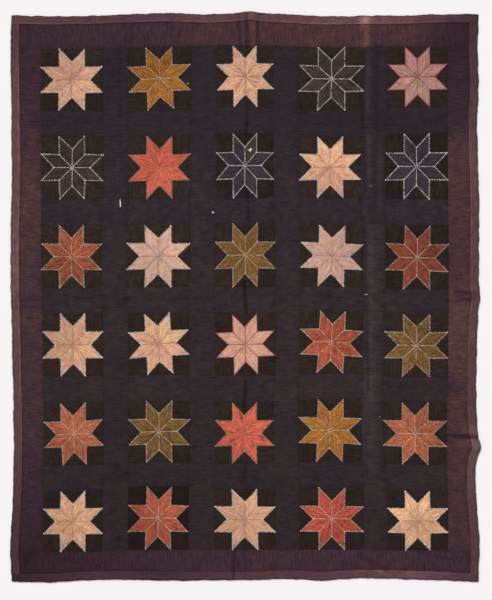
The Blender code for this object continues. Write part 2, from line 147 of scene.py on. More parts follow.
BLOCKS = [
    Block(1, 1, "peach", Thread.MAUVE, -4, -7, 236, 234, 0, -0.06, 344, 0.12),
    Block(1, 2, "ochre", Thread.CREAM, 2, -1, 242, 242, 2, 0.00, 287, 0.10),
    Block(1, 3, "peach", Thread.MAUVE, 0, 7, 215, 236, 1, 0.04, 273, 0.02, creased=0.30, worn=0.06),
    Block(1, 4, "charcoal", Thread.WHITE, 1, -3, 248, 242, 0, 0.06, 264, 0.10),
    Block(1, 5, "rose_tan", Thread.CRIMSON, 1, 5, 229, 234, 0, 0.03, 230, 0.07),
    Block(2, 1, "charcoal", Thread.WHITE, -3, -4, 238, 242, 0, -0.05, 285, 0.12),
    Block(2, 2, "coral", Thread.CORAL, 1, -4, 236, 238, 0, 0.00, 301, 0.07, creased=0.10),
    Block(2, 3, "navy", Thread.WHITE, -1, 3, 217, 246, 0, 0.00, 0, 0.08, ground=-0.22,
          odd_diamond=1, odd_cloth="charcoal"),
    Block(2, 4, "apricot", Thread.MAUVE, -5, -3, 234, 232, 0, 0.03, 72, 0.09, aged_side=80),
    Block(2, 5, "navy", Thread.WHITE, -3, 0, 238, 250, 0, 0.00, 236, 0.10, ground=-0.24),
    Block(3, 1, "rust", Thread.CREAM, -6, -8, 229, 240, 0, 0.00, 52, 0.15),
    Block(3, 2, "pale_pink", Thread.MAUVE, -3, -5, 242, 234, 0, 0.05, 72, 0.06),
    Block(3, 3, "moss", Thread.CREAM, 0, -1, 230, 244, 0, 0.02, 17, 0.03),
    Block(3, 4, "pale_pink", Thread.MAUVE, 2, -4, 238, 236, -2, -0.04, 170, 0.04),
    Block(3, 5, "maroon", Thread.GREY, -1, -11, 240, 246, -1, 0.02, 193, 0.15, ground=-0.24),
    Block(4, 1, "apricot", Thread.MAUVE, 0, -7, 231, 240, 0, -0.13, 328, 0.12, aged_side=300,
          aged_by=0.2),
    Block(4, 2, "apricot", Thread.MAUVE, -1, -2, 232, 236, 3, 0.00, 340, 0.02),
    Block(4, 3, "pink", Thread.CRIMSON, 1, -5, 229, 238, 2, 0.02, 33, 0.04),
    Block(4, 4, "brick", Thread.CREAM, 1, 3, 240, 238, -2, 0.00, 244, 0.10),
    Block(4, 5, "olive", Thread.CREAM, -4, -9, 244, 240, 0, 0.03, 211, 0.14),
    Block(5, 1, "salmon", Thread.GREY, 3, -10, 229, 240, 2, 0.04, 42, 0.15),
    Block(5, 2, "olive", Thread.CREAM, 0, -1, 234, 236, 0, 0.03, 13, 0.04),
    Block(5, 3, "coral", Thread.CORAL, -3, -7, 223, 232, 0, 0.09, 25, 0.10, creased=0.30),
    Block(5, 4, "ochre", Thread.CREAM, -5, 4, 242, 238, -1, 0.14, 178, 0.05),
    Block(5, 5, "salmon", Thread.GREY, -9, -9, 242, 236, 0, 0.00, 187, 0.11),
    Block(6, 1, "straw", Thread.MAUVE, -1, -7, 225, 230, 0, -0.06, 38, 0.08, aged_side=105,
          ground=-0.10),
    Block(6, 2, "brick", Thread.GREY, -3, 6, 230, 242, -1, 0.00, 48, 0.16, ground=-0.30),
    Block(6, 3, "peach", Thread.MAUVE, -1, 1, 232, 230, 0, -0.06, 34, 0.12, aged_side=25),
    Block(6, 4, "rose_red", Thread.CREAM, 2, 4, 242, 236, 0, 0.00, 133, 0.15),
    Block(6, 5, "straw", Thread.MAUVE, 2, -4, 230, 225, 0, 0.09, 122, 0.12, worn=0.26),
]

# How far each edge stands out from a straight line, in millimetres, at even steps along it
EDGE_OUT = {
    Edge.LEFT: [1, 4, 2, 1, -1, 0, 3, 4, 2, -1, -4, -7, -8, -7, -2, 5, 0],
    Edge.RIGHT: [3, 0, 3, -2, 0, 4, 5, 4, 4, -2, -5, -5, 0, -8, -2, 7, 3],
    Edge.HEAD: [-2, -5, -3, 2, 7, 2, 8, 3, -5, -3, -2, 2, 3],
    Edge.FOOT: [6, 7, -1, -3, 1, 0, 0, -6, 0, -8, -5, -1, 6],
}

# Where the noise that frays each edge is read
FRAY_SEEDS = {Edge.LEFT: 0.3, Edge.RIGHT: 4.3, Edge.HEAD: 8.3, Edge.FOOT: 12.3}

# How faded the border and the binding are at even steps along each edge: 1 is fully faded and
# below 0 is darker than the cloth's own colour
BORDER_FADE = {
    Edge.LEFT: [0.00, -0.01, 0.04, 0.08, 0.06, 0.05, 0.04, 0.01, -0.14, -0.26],
    Edge.RIGHT: [-0.28, -0.17, 0.06, 0.07, 0.06, 0.15, 0.08, 0.06, 0.05, 0.03],
    Edge.HEAD: [-0.08, 0.00, 0.01, 0.02, 0.06, 0.06, 0.08, 0.06, 0.02, -0.26],
    Edge.FOOT: [-0.36, -0.26, -0.11, -0.03, 0.01, 0.02, 0.02, 0.02, 0.01, -0.03],
}
BINDING_FADE = {
    Edge.LEFT: [-0.15, 0.04, 0.07, 0.08, 0.14, 0.05, 0.04, -0.03, -0.28, -0.30],
    Edge.RIGHT: [-0.35, -0.18, 0.03, 0.02, 0.01, 0.01, -0.02, 0.05, -0.02, -0.13],
    Edge.HEAD: [0.01, -0.04, -0.06, 0.00, 0.03, 0.02, 0.08, 0.10, 0.00, -0.35],
    Edge.FOOT: [-0.60, -0.45, -0.33, -0.44, -0.26, -0.16, -0.08, 0.03, 0.06, -0.18],
}

# How faded or darkened the field is at each row of blocks
FIELD_FADE = [-0.05, 0.00, 0.00, -0.01, -0.05, -0.14]

# How aged the sashes are at each row of blocks: bluer below 0 and browner above it
SASH_AGE = [-1.3, -0.5, 0.6, 0.8, 0.9, 1.1]


@dataclass(frozen=True)
class Bulge:
    """A narrow bulge of an edge: where along it, how far out, and how wide."""

    edge: Edge
    at: float
    out_mm: float
    reach: float


BULGES = [
    Bulge(Edge.HEAD, 0.020, 6, 0.030),
    Bulge(Edge.RIGHT, 0.010, 5, 0.030),
    Bulge(Edge.RIGHT, -0.562, 12, 0.032),
]


@dataclass(frozen=True)
class Fold:
    """A soft crease or ridge on a straight run, with the painted shade that darkens its trough
    below 0 and the painted highlight that lightens its ridge above 0; a worn run with no lift uses
    the same value for plain fading or darkening.
    """

    start: tuple[float, float]
    end: tuple[float, float]
    lift_mm: float
    width: float
    fade: float = 0.0


# The main folds, which the solids have too. Below 0 a fold's value paints shade along its trough,
# and above 0 it paints a highlight along its ridge
MAIN_FOLDS = [
    Fold((0.010, 1.08), (0.000, -1.08), -0.8, 0.009, -0.05),
    Fold((-0.90, 0.000), (0.90, 0.006), -0.8, 0.010, -0.04),
    Fold((0.022, 1.09), (0.030, 0.95), 1.8, 0.012, 0.06),
    Fold((0.457, 1.08), (0.487, 0.78), 1.5, 0.012),
    Fold((0.487, 0.78), (0.468, 0.38), 1.5, 0.012),
    Fold((0.468, 0.38), (0.488, -0.40), 2.0, 0.013),
    Fold((0.488, -0.40), (0.484, -0.74), 1.6, 0.013),
    Fold((-0.90, -0.020), (-0.79, -0.014), -1.4, 0.008, -0.06),
    Fold((0.800, -0.530), (0.905, -0.538), -3.0, 0.007, -0.14),
    Fold((0.840, -0.508), (0.890, -0.512), 2.4, 0.013, 0.10),
    Fold((0.820, -0.560), (0.895, -0.566), 3.6, 0.018, 0.10),
]

# The finer creases, listed one by one
# Below 0 each of these paints shade along its trough, and above 0 a highlight along its ridge
FINE_FOLDS = [
    Fold((0.762, -0.526), (0.900, -0.537), -0.6, 0.003, -0.45),
    Fold((0.013, 0.735), (0.007, 0.670), -0.8, 0.003, -0.30),
    Fold((0.007, 0.670), (0.004, 0.610), -1.2, 0.004, -0.50),
    Fold((0.012, 0.395), (0.010, 0.300), -0.8, 0.004, -0.45),
    Fold((-0.004, 0.060), (0.004, -0.060), -1.0, 0.005, -0.60),
    Fold((0.002, -0.320), (-0.004, -0.420), -1.0, 0.005, -0.60),
    Fold((0.004, -0.640), (-0.014, -0.710), -0.8, 0.006, -0.25),
    Fold((-0.040, -0.945), (-0.044, -1.070), -1.4, 0.006, -0.40),
    Fold((-0.024, 1.060), (-0.018, 0.960), -0.9, 0.005, -0.20),
    Fold((0.004, 1.070), (0.008, 0.950), -1.0, 0.005, -0.22),
    Fold((0.048, 1.050), (0.046, 0.950), -0.8, 0.005, -0.18),
    Fold((-0.430, 1.040), (-0.438, 0.960), -0.7, 0.005, -0.15),
    Fold((-0.452, 1.050), (-0.456, 0.955), -0.6, 0.004, -0.12),
    Fold((0.802, 0.020), (0.890, 0.010), -1.2, 0.006, -0.22),
    Fold((0.806, -0.016), (0.880, -0.004), -0.9, 0.005, -0.16),
    Fold((-0.880, -0.042), (-0.800, -0.038), -0.9, 0.006, -0.12),
    Fold((-0.650, -0.004), (-0.450, -0.010), -0.7, 0.005, -0.25),
    Fold((-0.360, -0.012), (-0.160, -0.006), -0.6, 0.005, -0.20),
    Fold((0.250, 0.006), (0.390, -0.004), -0.7, 0.005, -0.22),
    Fold((0.540, -0.030), (0.640, -0.022), -0.6, 0.005, -0.18),
    Fold((0.445, 0.760), (0.456, 0.400), -0.8, 0.006, -0.20),
    Fold((0.500, 0.720), (0.492, 0.300), -0.7, 0.006, -0.16),
    Fold((0.452, 0.300), (0.470, -0.350), -0.8, 0.006, -0.15),
    Fold((0.440, -0.980), (0.540, -1.045), -0.9, 0.007, -0.14),
    Fold((0.470, -0.955), (0.515, -1.050), 0.8, 0.008, 0.06),
    Fold((0.640, -0.960), (0.800, -1.010), -0.7, 0.007, -0.10),
    Fold((-0.770, -0.905), (-0.850, -1.040), -0.8, 0.008, -0.10),
    Fold((-0.560, -0.960), (-0.548, -1.010), -0.7, 0.006, -0.10),
    Fold((0.724, 0.830), (0.880, 0.822), -0.8, 0.006, -0.12),
    Fold((-0.856, 0.708), (-0.785, 0.708), -0.4, 0.002, -0.12),
    Fold((-0.476, 0.950), (-0.474, 0.300), -0.4, 0.003, -0.12),
    Fold((-0.522, 0.920), (-0.524, 0.620), -0.3, 0.003, -0.10),
    Fold((-0.480, -0.165), (-0.340, -0.172), -0.5, 0.005, -0.14),
    Fold((0.150, -0.165), (0.300, -0.160), -0.5, 0.005, -0.12),
]

# Runs of the cloth that are faded, or darkened below 0: both ends, half the width, and how much
WORN_RUNS = [
    Fold(start, end, 0.0, width, fade)
    for start, end, width, fade in (
        ((0.462, 0.880), (0.472, 0.420), 0.010, 0.07),
        ((0.518, 0.620), (0.515, 0.350), 0.010, 0.04),
        ((0.468, 0.940), (0.470, 0.700), 0.012, 0.07),
        ((0.504, 0.950), (0.498, 0.720), 0.012, -0.18),
        ((0.531, 0.900), (0.530, 0.720), 0.008, 0.04),
        ((0.478, 0.250), (0.480, -0.320), 0.020, 0.12),
        ((0.478, -0.320), (0.484, -0.740), 0.036, 0.12),
        ((0.459, 1.046), (0.460, 0.960), 0.014, 0.17),
        ((0.459, 1.090), (0.459, 1.056), 0.022, 0.32),
        ((0.020, 1.080), (0.010, 0.950), 0.050, 0.03),
        ((-0.300, -1.050), (0.060, -1.050), 0.030, 0.03),
        ((-0.490, -0.250), (-0.490, -0.930), 0.036, -0.12),
        ((-0.770, -0.678), (0.030, -0.678), 0.034, -0.09),
        ((0.540, -0.342), (0.770, -0.342), 0.034, -0.13),
        ((-0.164, -0.300), (-0.164, -0.560), 0.030, -0.08),
        ((-0.490, 0.940), (-0.490, 0.800), 0.030, -0.09),
        ((-0.770, 0.667), (-0.560, 0.667), 0.034, -0.12),
        ((0.220, 0.667), (0.770, 0.667), 0.034, -0.12),
    )
]


@dataclass(frozen=True)
class Swell:
    """A gentle swell of the cloth: its length, the way it runs in degrees, and its lift."""

    length: float
    heading: float
    lift_mm: float


SWELLS = [
    Swell(0.47, 20, 0.30),
    Swell(0.31, 75, 0.25),
    Swell(0.23, 130, 0.20),
    Swell(0.17, -35, 0.15),
]


@dataclass(frozen=True)
class Lint:
    """A tuft, speck or loose thread on the face: its middle, size, heading and fibres."""

    name: str
    at: tuple[float, float]
    length: float
    width: float
    heading: float
    fibres: int
    colour: str


LINTS = [
    Lint("wadding", (0.0202, 0.5594), 0.019, 0.007, 38, 60, "E4DEDA"),
    Lint("sash_slit", (-0.4749, 0.3555), 0.036, 0.002, 93, 30, "EFEAE6"),
    Lint("white_speck", (-0.1229, 0.3212), 0.011, 0.006, 60, 22, "DCD6D2"),
    Lint("torn_edge", (0.0105, 0.5600), 0.020, 0.003, 84, 14, "8A7C72"),
    Lint("grey_fluff", (0.4772, 0.4214), 0.015, 0.008, 80, 8, "8A8486"),
    Lint("loose_thread", (0.4595, 0.0085), 0.018, 0.002, 3, 9, "C9B9AE"),
    Lint("grey_speck", (0.2768, -0.3812), 0.009, 0.004, 30, 5, "7C7474"),
    Lint("small_speck", (0.5127, -0.4563), 0.005, 0.004, 0, 6, "C4BCBC"),
    Lint("red_speck", (-0.6716, 0.2740), 0.012, 0.005, 20, 10, "7A2F2C"),
    Lint("cream_wear", (-0.2180, 0.8100), 0.010, 0.006, 70, 14, "D2AE84"),
    Lint("rusty_speck", (-0.2100, -0.1710), 0.010, 0.008, 50, 9, "7B4A2A"),
]


@dataclass(frozen=True)
class Cotton:
    """One cloth: its colour, the colour it drifts to as it ages, and how strongly it does."""

    colour: str
    aged: str
    drift: float = 0.30
    slub: float = 0.10
    # How strongly crease lines dent its face and darken it with painted shade
    crumple: float = 0.42


COTTONS = {
    "peach": Cotton("D5A17F", "CB9B85", 0.75, 0.13, 0.22),
    "ochre": Cotton("9C662E", "804E22", 0.30, 0.21, 0.28),
    "charcoal": Cotton("3D312F", "493C3A", 0.30, 0.22, 0.30),
    "rose_tan": Cotton("B07A76", "A4836C", 0.75, 0.17, 0.26),
    "coral": Cotton("C5614C", "B15341", 0.35, 0.17, 0.32),
    "navy": Cotton("3C3139", "463B40", 0.30, 0.20, 0.30),
    "apricot": Cotton("D69E82", "DEB486", 0.80, 0.13, 0.22),
    "rust": Cotton("935139", "7F4430", 0.35, 0.26, 0.28),
    "pale_pink": Cotton("C79D8F", "CDA385", 0.70, 0.12, 0.22),
    "moss": Cotton("785732", "684B29", 0.35, 0.26, 0.28),
    "maroon": Cotton("7D4130", "6D3828", 0.30, 0.24, 0.28),
    "pink": Cotton("D09C88", "CA9374", 0.70, 0.13, 0.28),
    "brick": Cotton("A4543E", "914533", 0.40, 0.21, 0.30),
    "olive": Cotton("725430", "654A29", 0.35, 0.27, 0.30),
    "salmon": Cotton("A55F44", "945037", 0.35, 0.21, 0.28),
    "straw": Cotton("D7A67D", "C6937B", 0.80, 0.14, 0.26),
    "rose_red": Cotton("AE5042", "974237", 0.35, 0.20, 0.30),
    "ground": Cotton("2D2320", "332A25", 0.50, 0.13, 0.30),
    "ground_side": Cotton("2E2422", "332A25", 0.50, 0.13, 0.30),
    "sash": Cotton("30272D", "3C302C", 0.34, 0.12, 0.30),
    "border": Cotton("3C2932", "33242C", 0.30, 0.14, 0.24),
    "binding": Cotton("583E43", "4E373C", 0.30, 0.10, 0.24),
}

# The colours that fading lightens each cloth towards. The painted highlights on fold ridges, and
# the band painted lighter along the binding's ridge, mix towards them too
FADED = {"sash": "6E625F", "border": "A06C58", "binding": "B98A80"}
FADED_OTHER = "8A7A70"

# Each thread's colour on the seams between diamonds and on the star's outline, and how long its
# outline stitches are
THREADS = {
    Thread.WHITE: ("F0E8E3", "F4EEEA", 0.0046),
    Thread.CREAM: ("E6CAB0", "E4CDB6", 0.0047),
    Thread.GREY: ("EAC9B6", "D8BEAE", 0.0048),
    Thread.CRIMSON: ("8C2438", "A64450", 0.0050),
    Thread.CORAL: ("D08C76", "D0937F", 0.0056),
    Thread.MAUVE: ("B0837A", "F0E0D4", 0.0062),
}


def linear(code: str, lift: float = 0.0) -> tuple[float, float, float, float]:
    """Turns an sRGB hex colour into Blender's linear colour.

    Args:
        code: Six hex digits.
        lift: How much lighter, or darker below 0, in shares.

    Returns:
        Red, green, blue and alpha.
    """
    channels = [int(code[i : i + 2], 16) / 255 for i in (0, 2, 4)]
    curved = [c / 12.92 if c <= 0.04045 else ((c + 0.055) / 1.055) ** 2.4 for c in channels]
    return (*(c * (1.0 + lift) for c in curved), 1.0)


def smooth_curve(values: Sequence[float], at: np.ndarray) -> np.ndarray:
    """Reads a smooth curve through even stations, held level past its ends.

    Args:
        values: The value at each station.
        at: Where to read it, in stations.

    Returns:
        The value at each place.
    """
    table = np.asarray(values, dtype=float)
    last = len(table) - 1
    at = np.clip(at, 0.0, float(last))
    i = np.minimum(at.astype(int), last - 1)
    f = at - i
    before, here = table[np.maximum(i - 1, 0)], table[i]
    after, beyond = table[i + 1], table[np.minimum(i + 2, last)]
    bend = 2 * before - 5 * here + 4 * after - beyond
    twist = 3 * (here - after) + beyond - before
    return here + 0.5 * f * (after - before + f * (bend + f * twist))


def noise_field(east: np.ndarray, north: np.ndarray, seed: float) -> np.ndarray:
    """Smooth noise from -1 to 1 over scaled places."""
    pairs = zip(east.tolist(), north.tolist())
    return np.array([noise.noise(Vector((x, y, seed))) for x, y in pairs])


def hump(distance: np.ndarray, reach: float) -> np.ndarray:
    """A soft hump, from 1 at no distance to almost 0 at twice its reach."""
    return np.exp(-((distance / reach) ** 2))


def near_run(east: np.ndarray, north: np.ndarray, fold: Fold) -> np.ndarray:
    """How near places are to a fold's run, from 1 on it to 0 well away from it."""
    (x0, y0), (x1, y1) = fold.start, fold.end
    dx, dy = x1 - x0, y1 - y0
    share = np.clip(((east - x0) * dx + (north - y0) * dy) / (dx * dx + dy * dy), 0.0, 1.0)
    return hump(np.hypot(east - x0 - share * dx, north - y0 - share * dy), fold.width)


def even_steps(count: int) -> list[float]:
    """Even shares from 0 to 1."""
    return [i / count for i in range(count + 1)]


def by_block(lines: np.ndarray) -> np.ndarray:
    """Turns line numbers into blocks, with 0 at the middle of the first."""
    return (lines - 2.5) / 2


def between_lines(
    line_at: Callable[[int, np.ndarray], np.ndarray],
    numbers: np.ndarray,
    last: int,
    along: np.ndarray,
) -> np.ndarray:
    """Finds places that lie between numbered lines.

    Args:
        line_at: Gives where a line lies at places along it.
        numbers: The places' line numbers, with their fractions.
        last: The number of the last line.
        along: Line numbers of the places along the lines.

    Returns:
        How far east or north each place is.
    """
    found = np.empty_like(numbers)
    first = np.minimum(numbers.astype(int), last - 1)
    for line in np.unique(first):
        on = first == line
        share = numbers[on] - line
        before = (1 - share) * line_at(int(line), along[on])
        found[on] = before + share * line_at(int(line) + 1, along[on])
    return found


@dataclass(frozen=True)
class Spots:
    """Points of a cloth: their line numbers, their places and how full the patch is there."""

    across: np.ndarray
    down: np.ndarray
    east: np.ndarray
    north: np.ndarray
    fullness: np.ndarray


@dataclass(frozen=True)
class Plan:
    """The quilt's plan: its seams, its outline, and the height of its top."""

    pitch_across: float = 0.3277
    pitch_down: float = 0.3361
    block_width: float = 0.240
    binding_width: float = 0.033
    field_north: float = -0.0055
    centre_north: float = 0.0026
    head_edge: float = 1.0763
    foot_edge: float = -1.0775
    left_edge: float = -0.8898
    right_edge: float = 0.8856
    seam_top: float = 0.0044
    puff: float = 0.0017
    puff_reach: float = 0.009
    lowest_top: float = 0.0034
    seam_wrinkles: float = 0.25
    edge_wave_share: float = 0.20
    edge_wave_reach: float = 0.11

    def block(self, row: int, col: int) -> Block:
        """The block in a row and column, both counted from 1."""
        return BLOCKS[(row - 1) * COLUMNS + col - 1]

    def field_length(self) -> float:
        """How long the field of blocks is, from head to foot."""
        return (ROWS - 1) * self.pitch_down + self.block_width

    def edge_at(self, edge: Edge) -> float:
        """Where an edge would lie if it were straight."""
        return getattr(self, f"{edge.value}_edge")

    def along_share(self, edge: Edge, along: np.ndarray) -> np.ndarray:
        """How far along an edge a place is, from its head or left end, in shares."""
        if edge.level:
            return (along - self.left_edge) / (self.right_edge - self.left_edge)
        return (self.head_edge - along) / (self.head_edge - self.foot_edge)

    def along_edge(self, edge: Edge, stations: list[float], along: np.ndarray) -> np.ndarray:
        """Reads a table of an edge's even stations at places along it."""
        return smooth_curve(stations, self.along_share(edge, along) * (len(stations) - 1))

    def outward(self, edge: Edge, along: np.ndarray) -> np.ndarray:
        """How far an edge stands out at places along it."""
        out = self.along_edge(edge, EDGE_OUT[edge], along)
        for bulge in BULGES:
            if bulge.edge is edge:
                out = out + bulge.out_mm * hump(along - bulge.at, bulge.reach)
        return out * MM

    def fray(self, along: np.ndarray, seed: float) -> np.ndarray:
        """How far the worn outer edge strays from its smooth line."""
        wavy = noise_field(along * 28.0, along, seed)
        ragged = noise_field(along * 90.0, along, seed)
        return MM * (2.6 * wavy + 1.5 * ragged)

    def even_lines(self, down: bool) -> list[float]:
        """Where the numbered lines would lie on the even grid.

        Args:
            down: Whether the lines are those that are counted down the quilt.

        Returns:
            The place of each line.
        """
        half = self.block_width / 2
        if down:
            top = self.field_north + (ROWS - 1) / 2 * self.pitch_down
            middles = [top - row * self.pitch_down for row in range(ROWS)]
            inner = [edge for middle in middles for edge in (middle + half, middle - half)]
            ends = (self.head_edge, self.foot_edge, -self.binding_width)
        else:
            middles = [(col - (COLUMNS - 1) / 2) * self.pitch_across for col in range(COLUMNS)]
            inner = [edge for middle in middles for edge in (middle - half, middle + half)]
            ends = (self.left_edge, self.right_edge, self.binding_width)
        first, last, inward = ends
        return [first, first + inward, *inner, last - inward, last]

    def edge_line(self, edge: Edge, line: int, at: np.ndarray) -> np.ndarray:
        """Where one of the two lines at each side of a binding lies.

        Args:
            edge: The quilt's edge that the binding is on.
            line: The line's number.
            at: Line numbers of places along it.

        Returns:
            The place of the line there.
        """
        evens = self.even_lines(down=not edge.level)
        along = np.interp(at, np.arange(len(evens)), evens)
        outer = self.edge_at(edge) + edge.sign * self.outward(edge, along)
        inner = line if edge.near else edge.last - line
        frayed = (1 - inner) * self.fray(along, FRAY_SEEDS[edge])
        return outer - edge.sign * inner * self.binding_width + frayed

    def east_line(self, line: int, down: np.ndarray) -> np.ndarray:
        """Where a line that runs down the quilt lies, at places down its length."""
        if line <= 1 or line >= LAST_ACROSS - 1:
            return self.edge_line(Edge.LEFT if line <= 1 else Edge.RIGHT, line, down)
        col = line // 2
        side = -0.5 if line % 2 == 0 else 0.5
        blocks = [self.block(row, col) for row in range(1, ROWS + 1)]
        shifts = [(block.east + side * block.wide) * MM for block in blocks]
        middle = (col - (COLUMNS + 1) / 2) * self.pitch_across
        return middle + smooth_curve(shifts, by_block(down))

    def north_line(self, line: int, across: np.ndarray) -> np.ndarray:
        """Where a line that runs across the quilt lies, at places across its width."""
        if line <= 1 or line >= LAST_DOWN - 1:
            return self.edge_line(Edge.HEAD if line <= 1 else Edge.FOOT, line, across)
        row = line // 2
        side = 0.5 if line % 2 == 0 else -0.5
        blocks = [self.block(row, col) for col in range(1, COLUMNS + 1)]
        shifts = [(block.north + side * block.tall) * MM for block in blocks]
        middle = self.field_north + ((ROWS + 1) / 2 - row) * self.pitch_down
        return middle + smooth_curve(shifts, by_block(across))

    def place(self, across: np.ndarray, down: np.ndarray) -> tuple[np.ndarray, np.ndarray]:
        """Turns line numbers into places.

        Args:
            across: Line numbers across the quilt.
            down: Line numbers down the quilt.

        Returns:
            East and north of each place.
        """
        east = between_lines(self.east_line, across, LAST_ACROSS, down)
        north = between_lines(self.north_line, down, LAST_DOWN, across)
        return east, north - self.centre_north

    def lift(self, east: np.ndarray, north: np.ndarray) -> np.ndarray:
        """How far the swells, folds and full edges lift the cloth."""
        lift = np.zeros_like(east)
        for swell in SWELLS:
            heading = math.radians(swell.heading)
            run = east * math.cos(heading) + north * math.sin(heading)
            lift += swell.lift_mm * MM * np.sin(2 * math.pi * run / swell.length)
        for fold in MAIN_FOLDS + FINE_FOLDS:
            lift += fold.lift_mm * MM * near_run(east, north, fold)
        for edge in Edge:
            over, along = (north, east) if edge.level else (east, north)
            inward = edge.sign * (self.edge_at(edge) - over)
            near = np.maximum(0.0, 1.0 - inward / self.edge_wave_reach)
            lift += self.edge_wave_share * near * np.maximum(0.0, self.outward(edge, along))
        return lift

    def crinkle(self, east: np.ndarray, north: np.ndarray) -> np.ndarray:
        """The small wrinkles that washed cotton keeps, across and along its threads."""
        across = noise_field(east * 80.0, north * 20.0, 1.7)
        along = noise_field(east * 18.0, north * 88.0, 5.3)
        slanted = noise_field((east + north) * 62.0, (east - north) * 20.0, 3.1)
        dimples = noise_field(east * 42.0, north * 42.0, 9.1)
        return MM * (0.38 * across + 0.42 * along + 0.34 * slanted + 0.38 * dimples)

    def top(
        self, east: np.ndarray, north: np.ndarray, fullness: np.ndarray, crumple: float = 1.0
    ) -> np.ndarray:
        """Height of the top.

        Args:
            east: Places, in metres east of the middle.
            north: The same, north of it.
            fullness: How full the patch is there, from 0 on a seam to 1.
            crumple: How much its wrinkles are raised.

        Returns:
            Height above the surface that the quilt lies on.
        """
        full = self.seam_top + self.puff * fullness + self.lift(east, north)
        wrinkles = self.crinkle(east, north) * (self.seam_wrinkles + fullness) * crumple
        return np.maximum(self.lowest_top, full) + wrinkles

    def worn(self, spots: Spots) -> np.ndarray:
        """How faded, or darkened below 0, the cloth is from the worn runs, with the painted shade
        in the folds' troughs and the painted highlights on their ridges.
        """
        fade = np.zeros_like(spots.east)
        for fold in MAIN_FOLDS + FINE_FOLDS + WORN_RUNS:
            fade += fold.fade * near_run(spots.east, spots.north, fold)
        return fade


def put_in_scene(name: str, data: bpy.types.ID) -> bpy.types.Object:
    """Makes an object of a mesh, lamp or camera and adds it to the scene."""
    piece = bpy.data.objects.new(name, data)
    bpy.context.scene.collection.objects.link(piece)
    return piece


def shade_smooth(mesh: bpy.types.Mesh) -> None:
    """Shades every face of a mesh smooth."""
    mesh.polygons.foreach_set("use_smooth", np.ones(len(mesh.polygons), dtype=bool))


def write_layer(
    mesh: bpy.types.Mesh, label: str, kind: str, domain: str, values: np.ndarray
) -> None:
    """Writes a named value for each point, corner or face of a mesh."""
    layer = mesh.attributes.new(label, kind, domain)
    layer.data.foreach_set("value", values)


@dataclass
class Patch:
    """One cut piece of cloth within a shell: its threads' heading, its age and its material."""

    heading: float = 0.0
    age: float = 0.0
    material: int = 0
    tone: float = 0.0


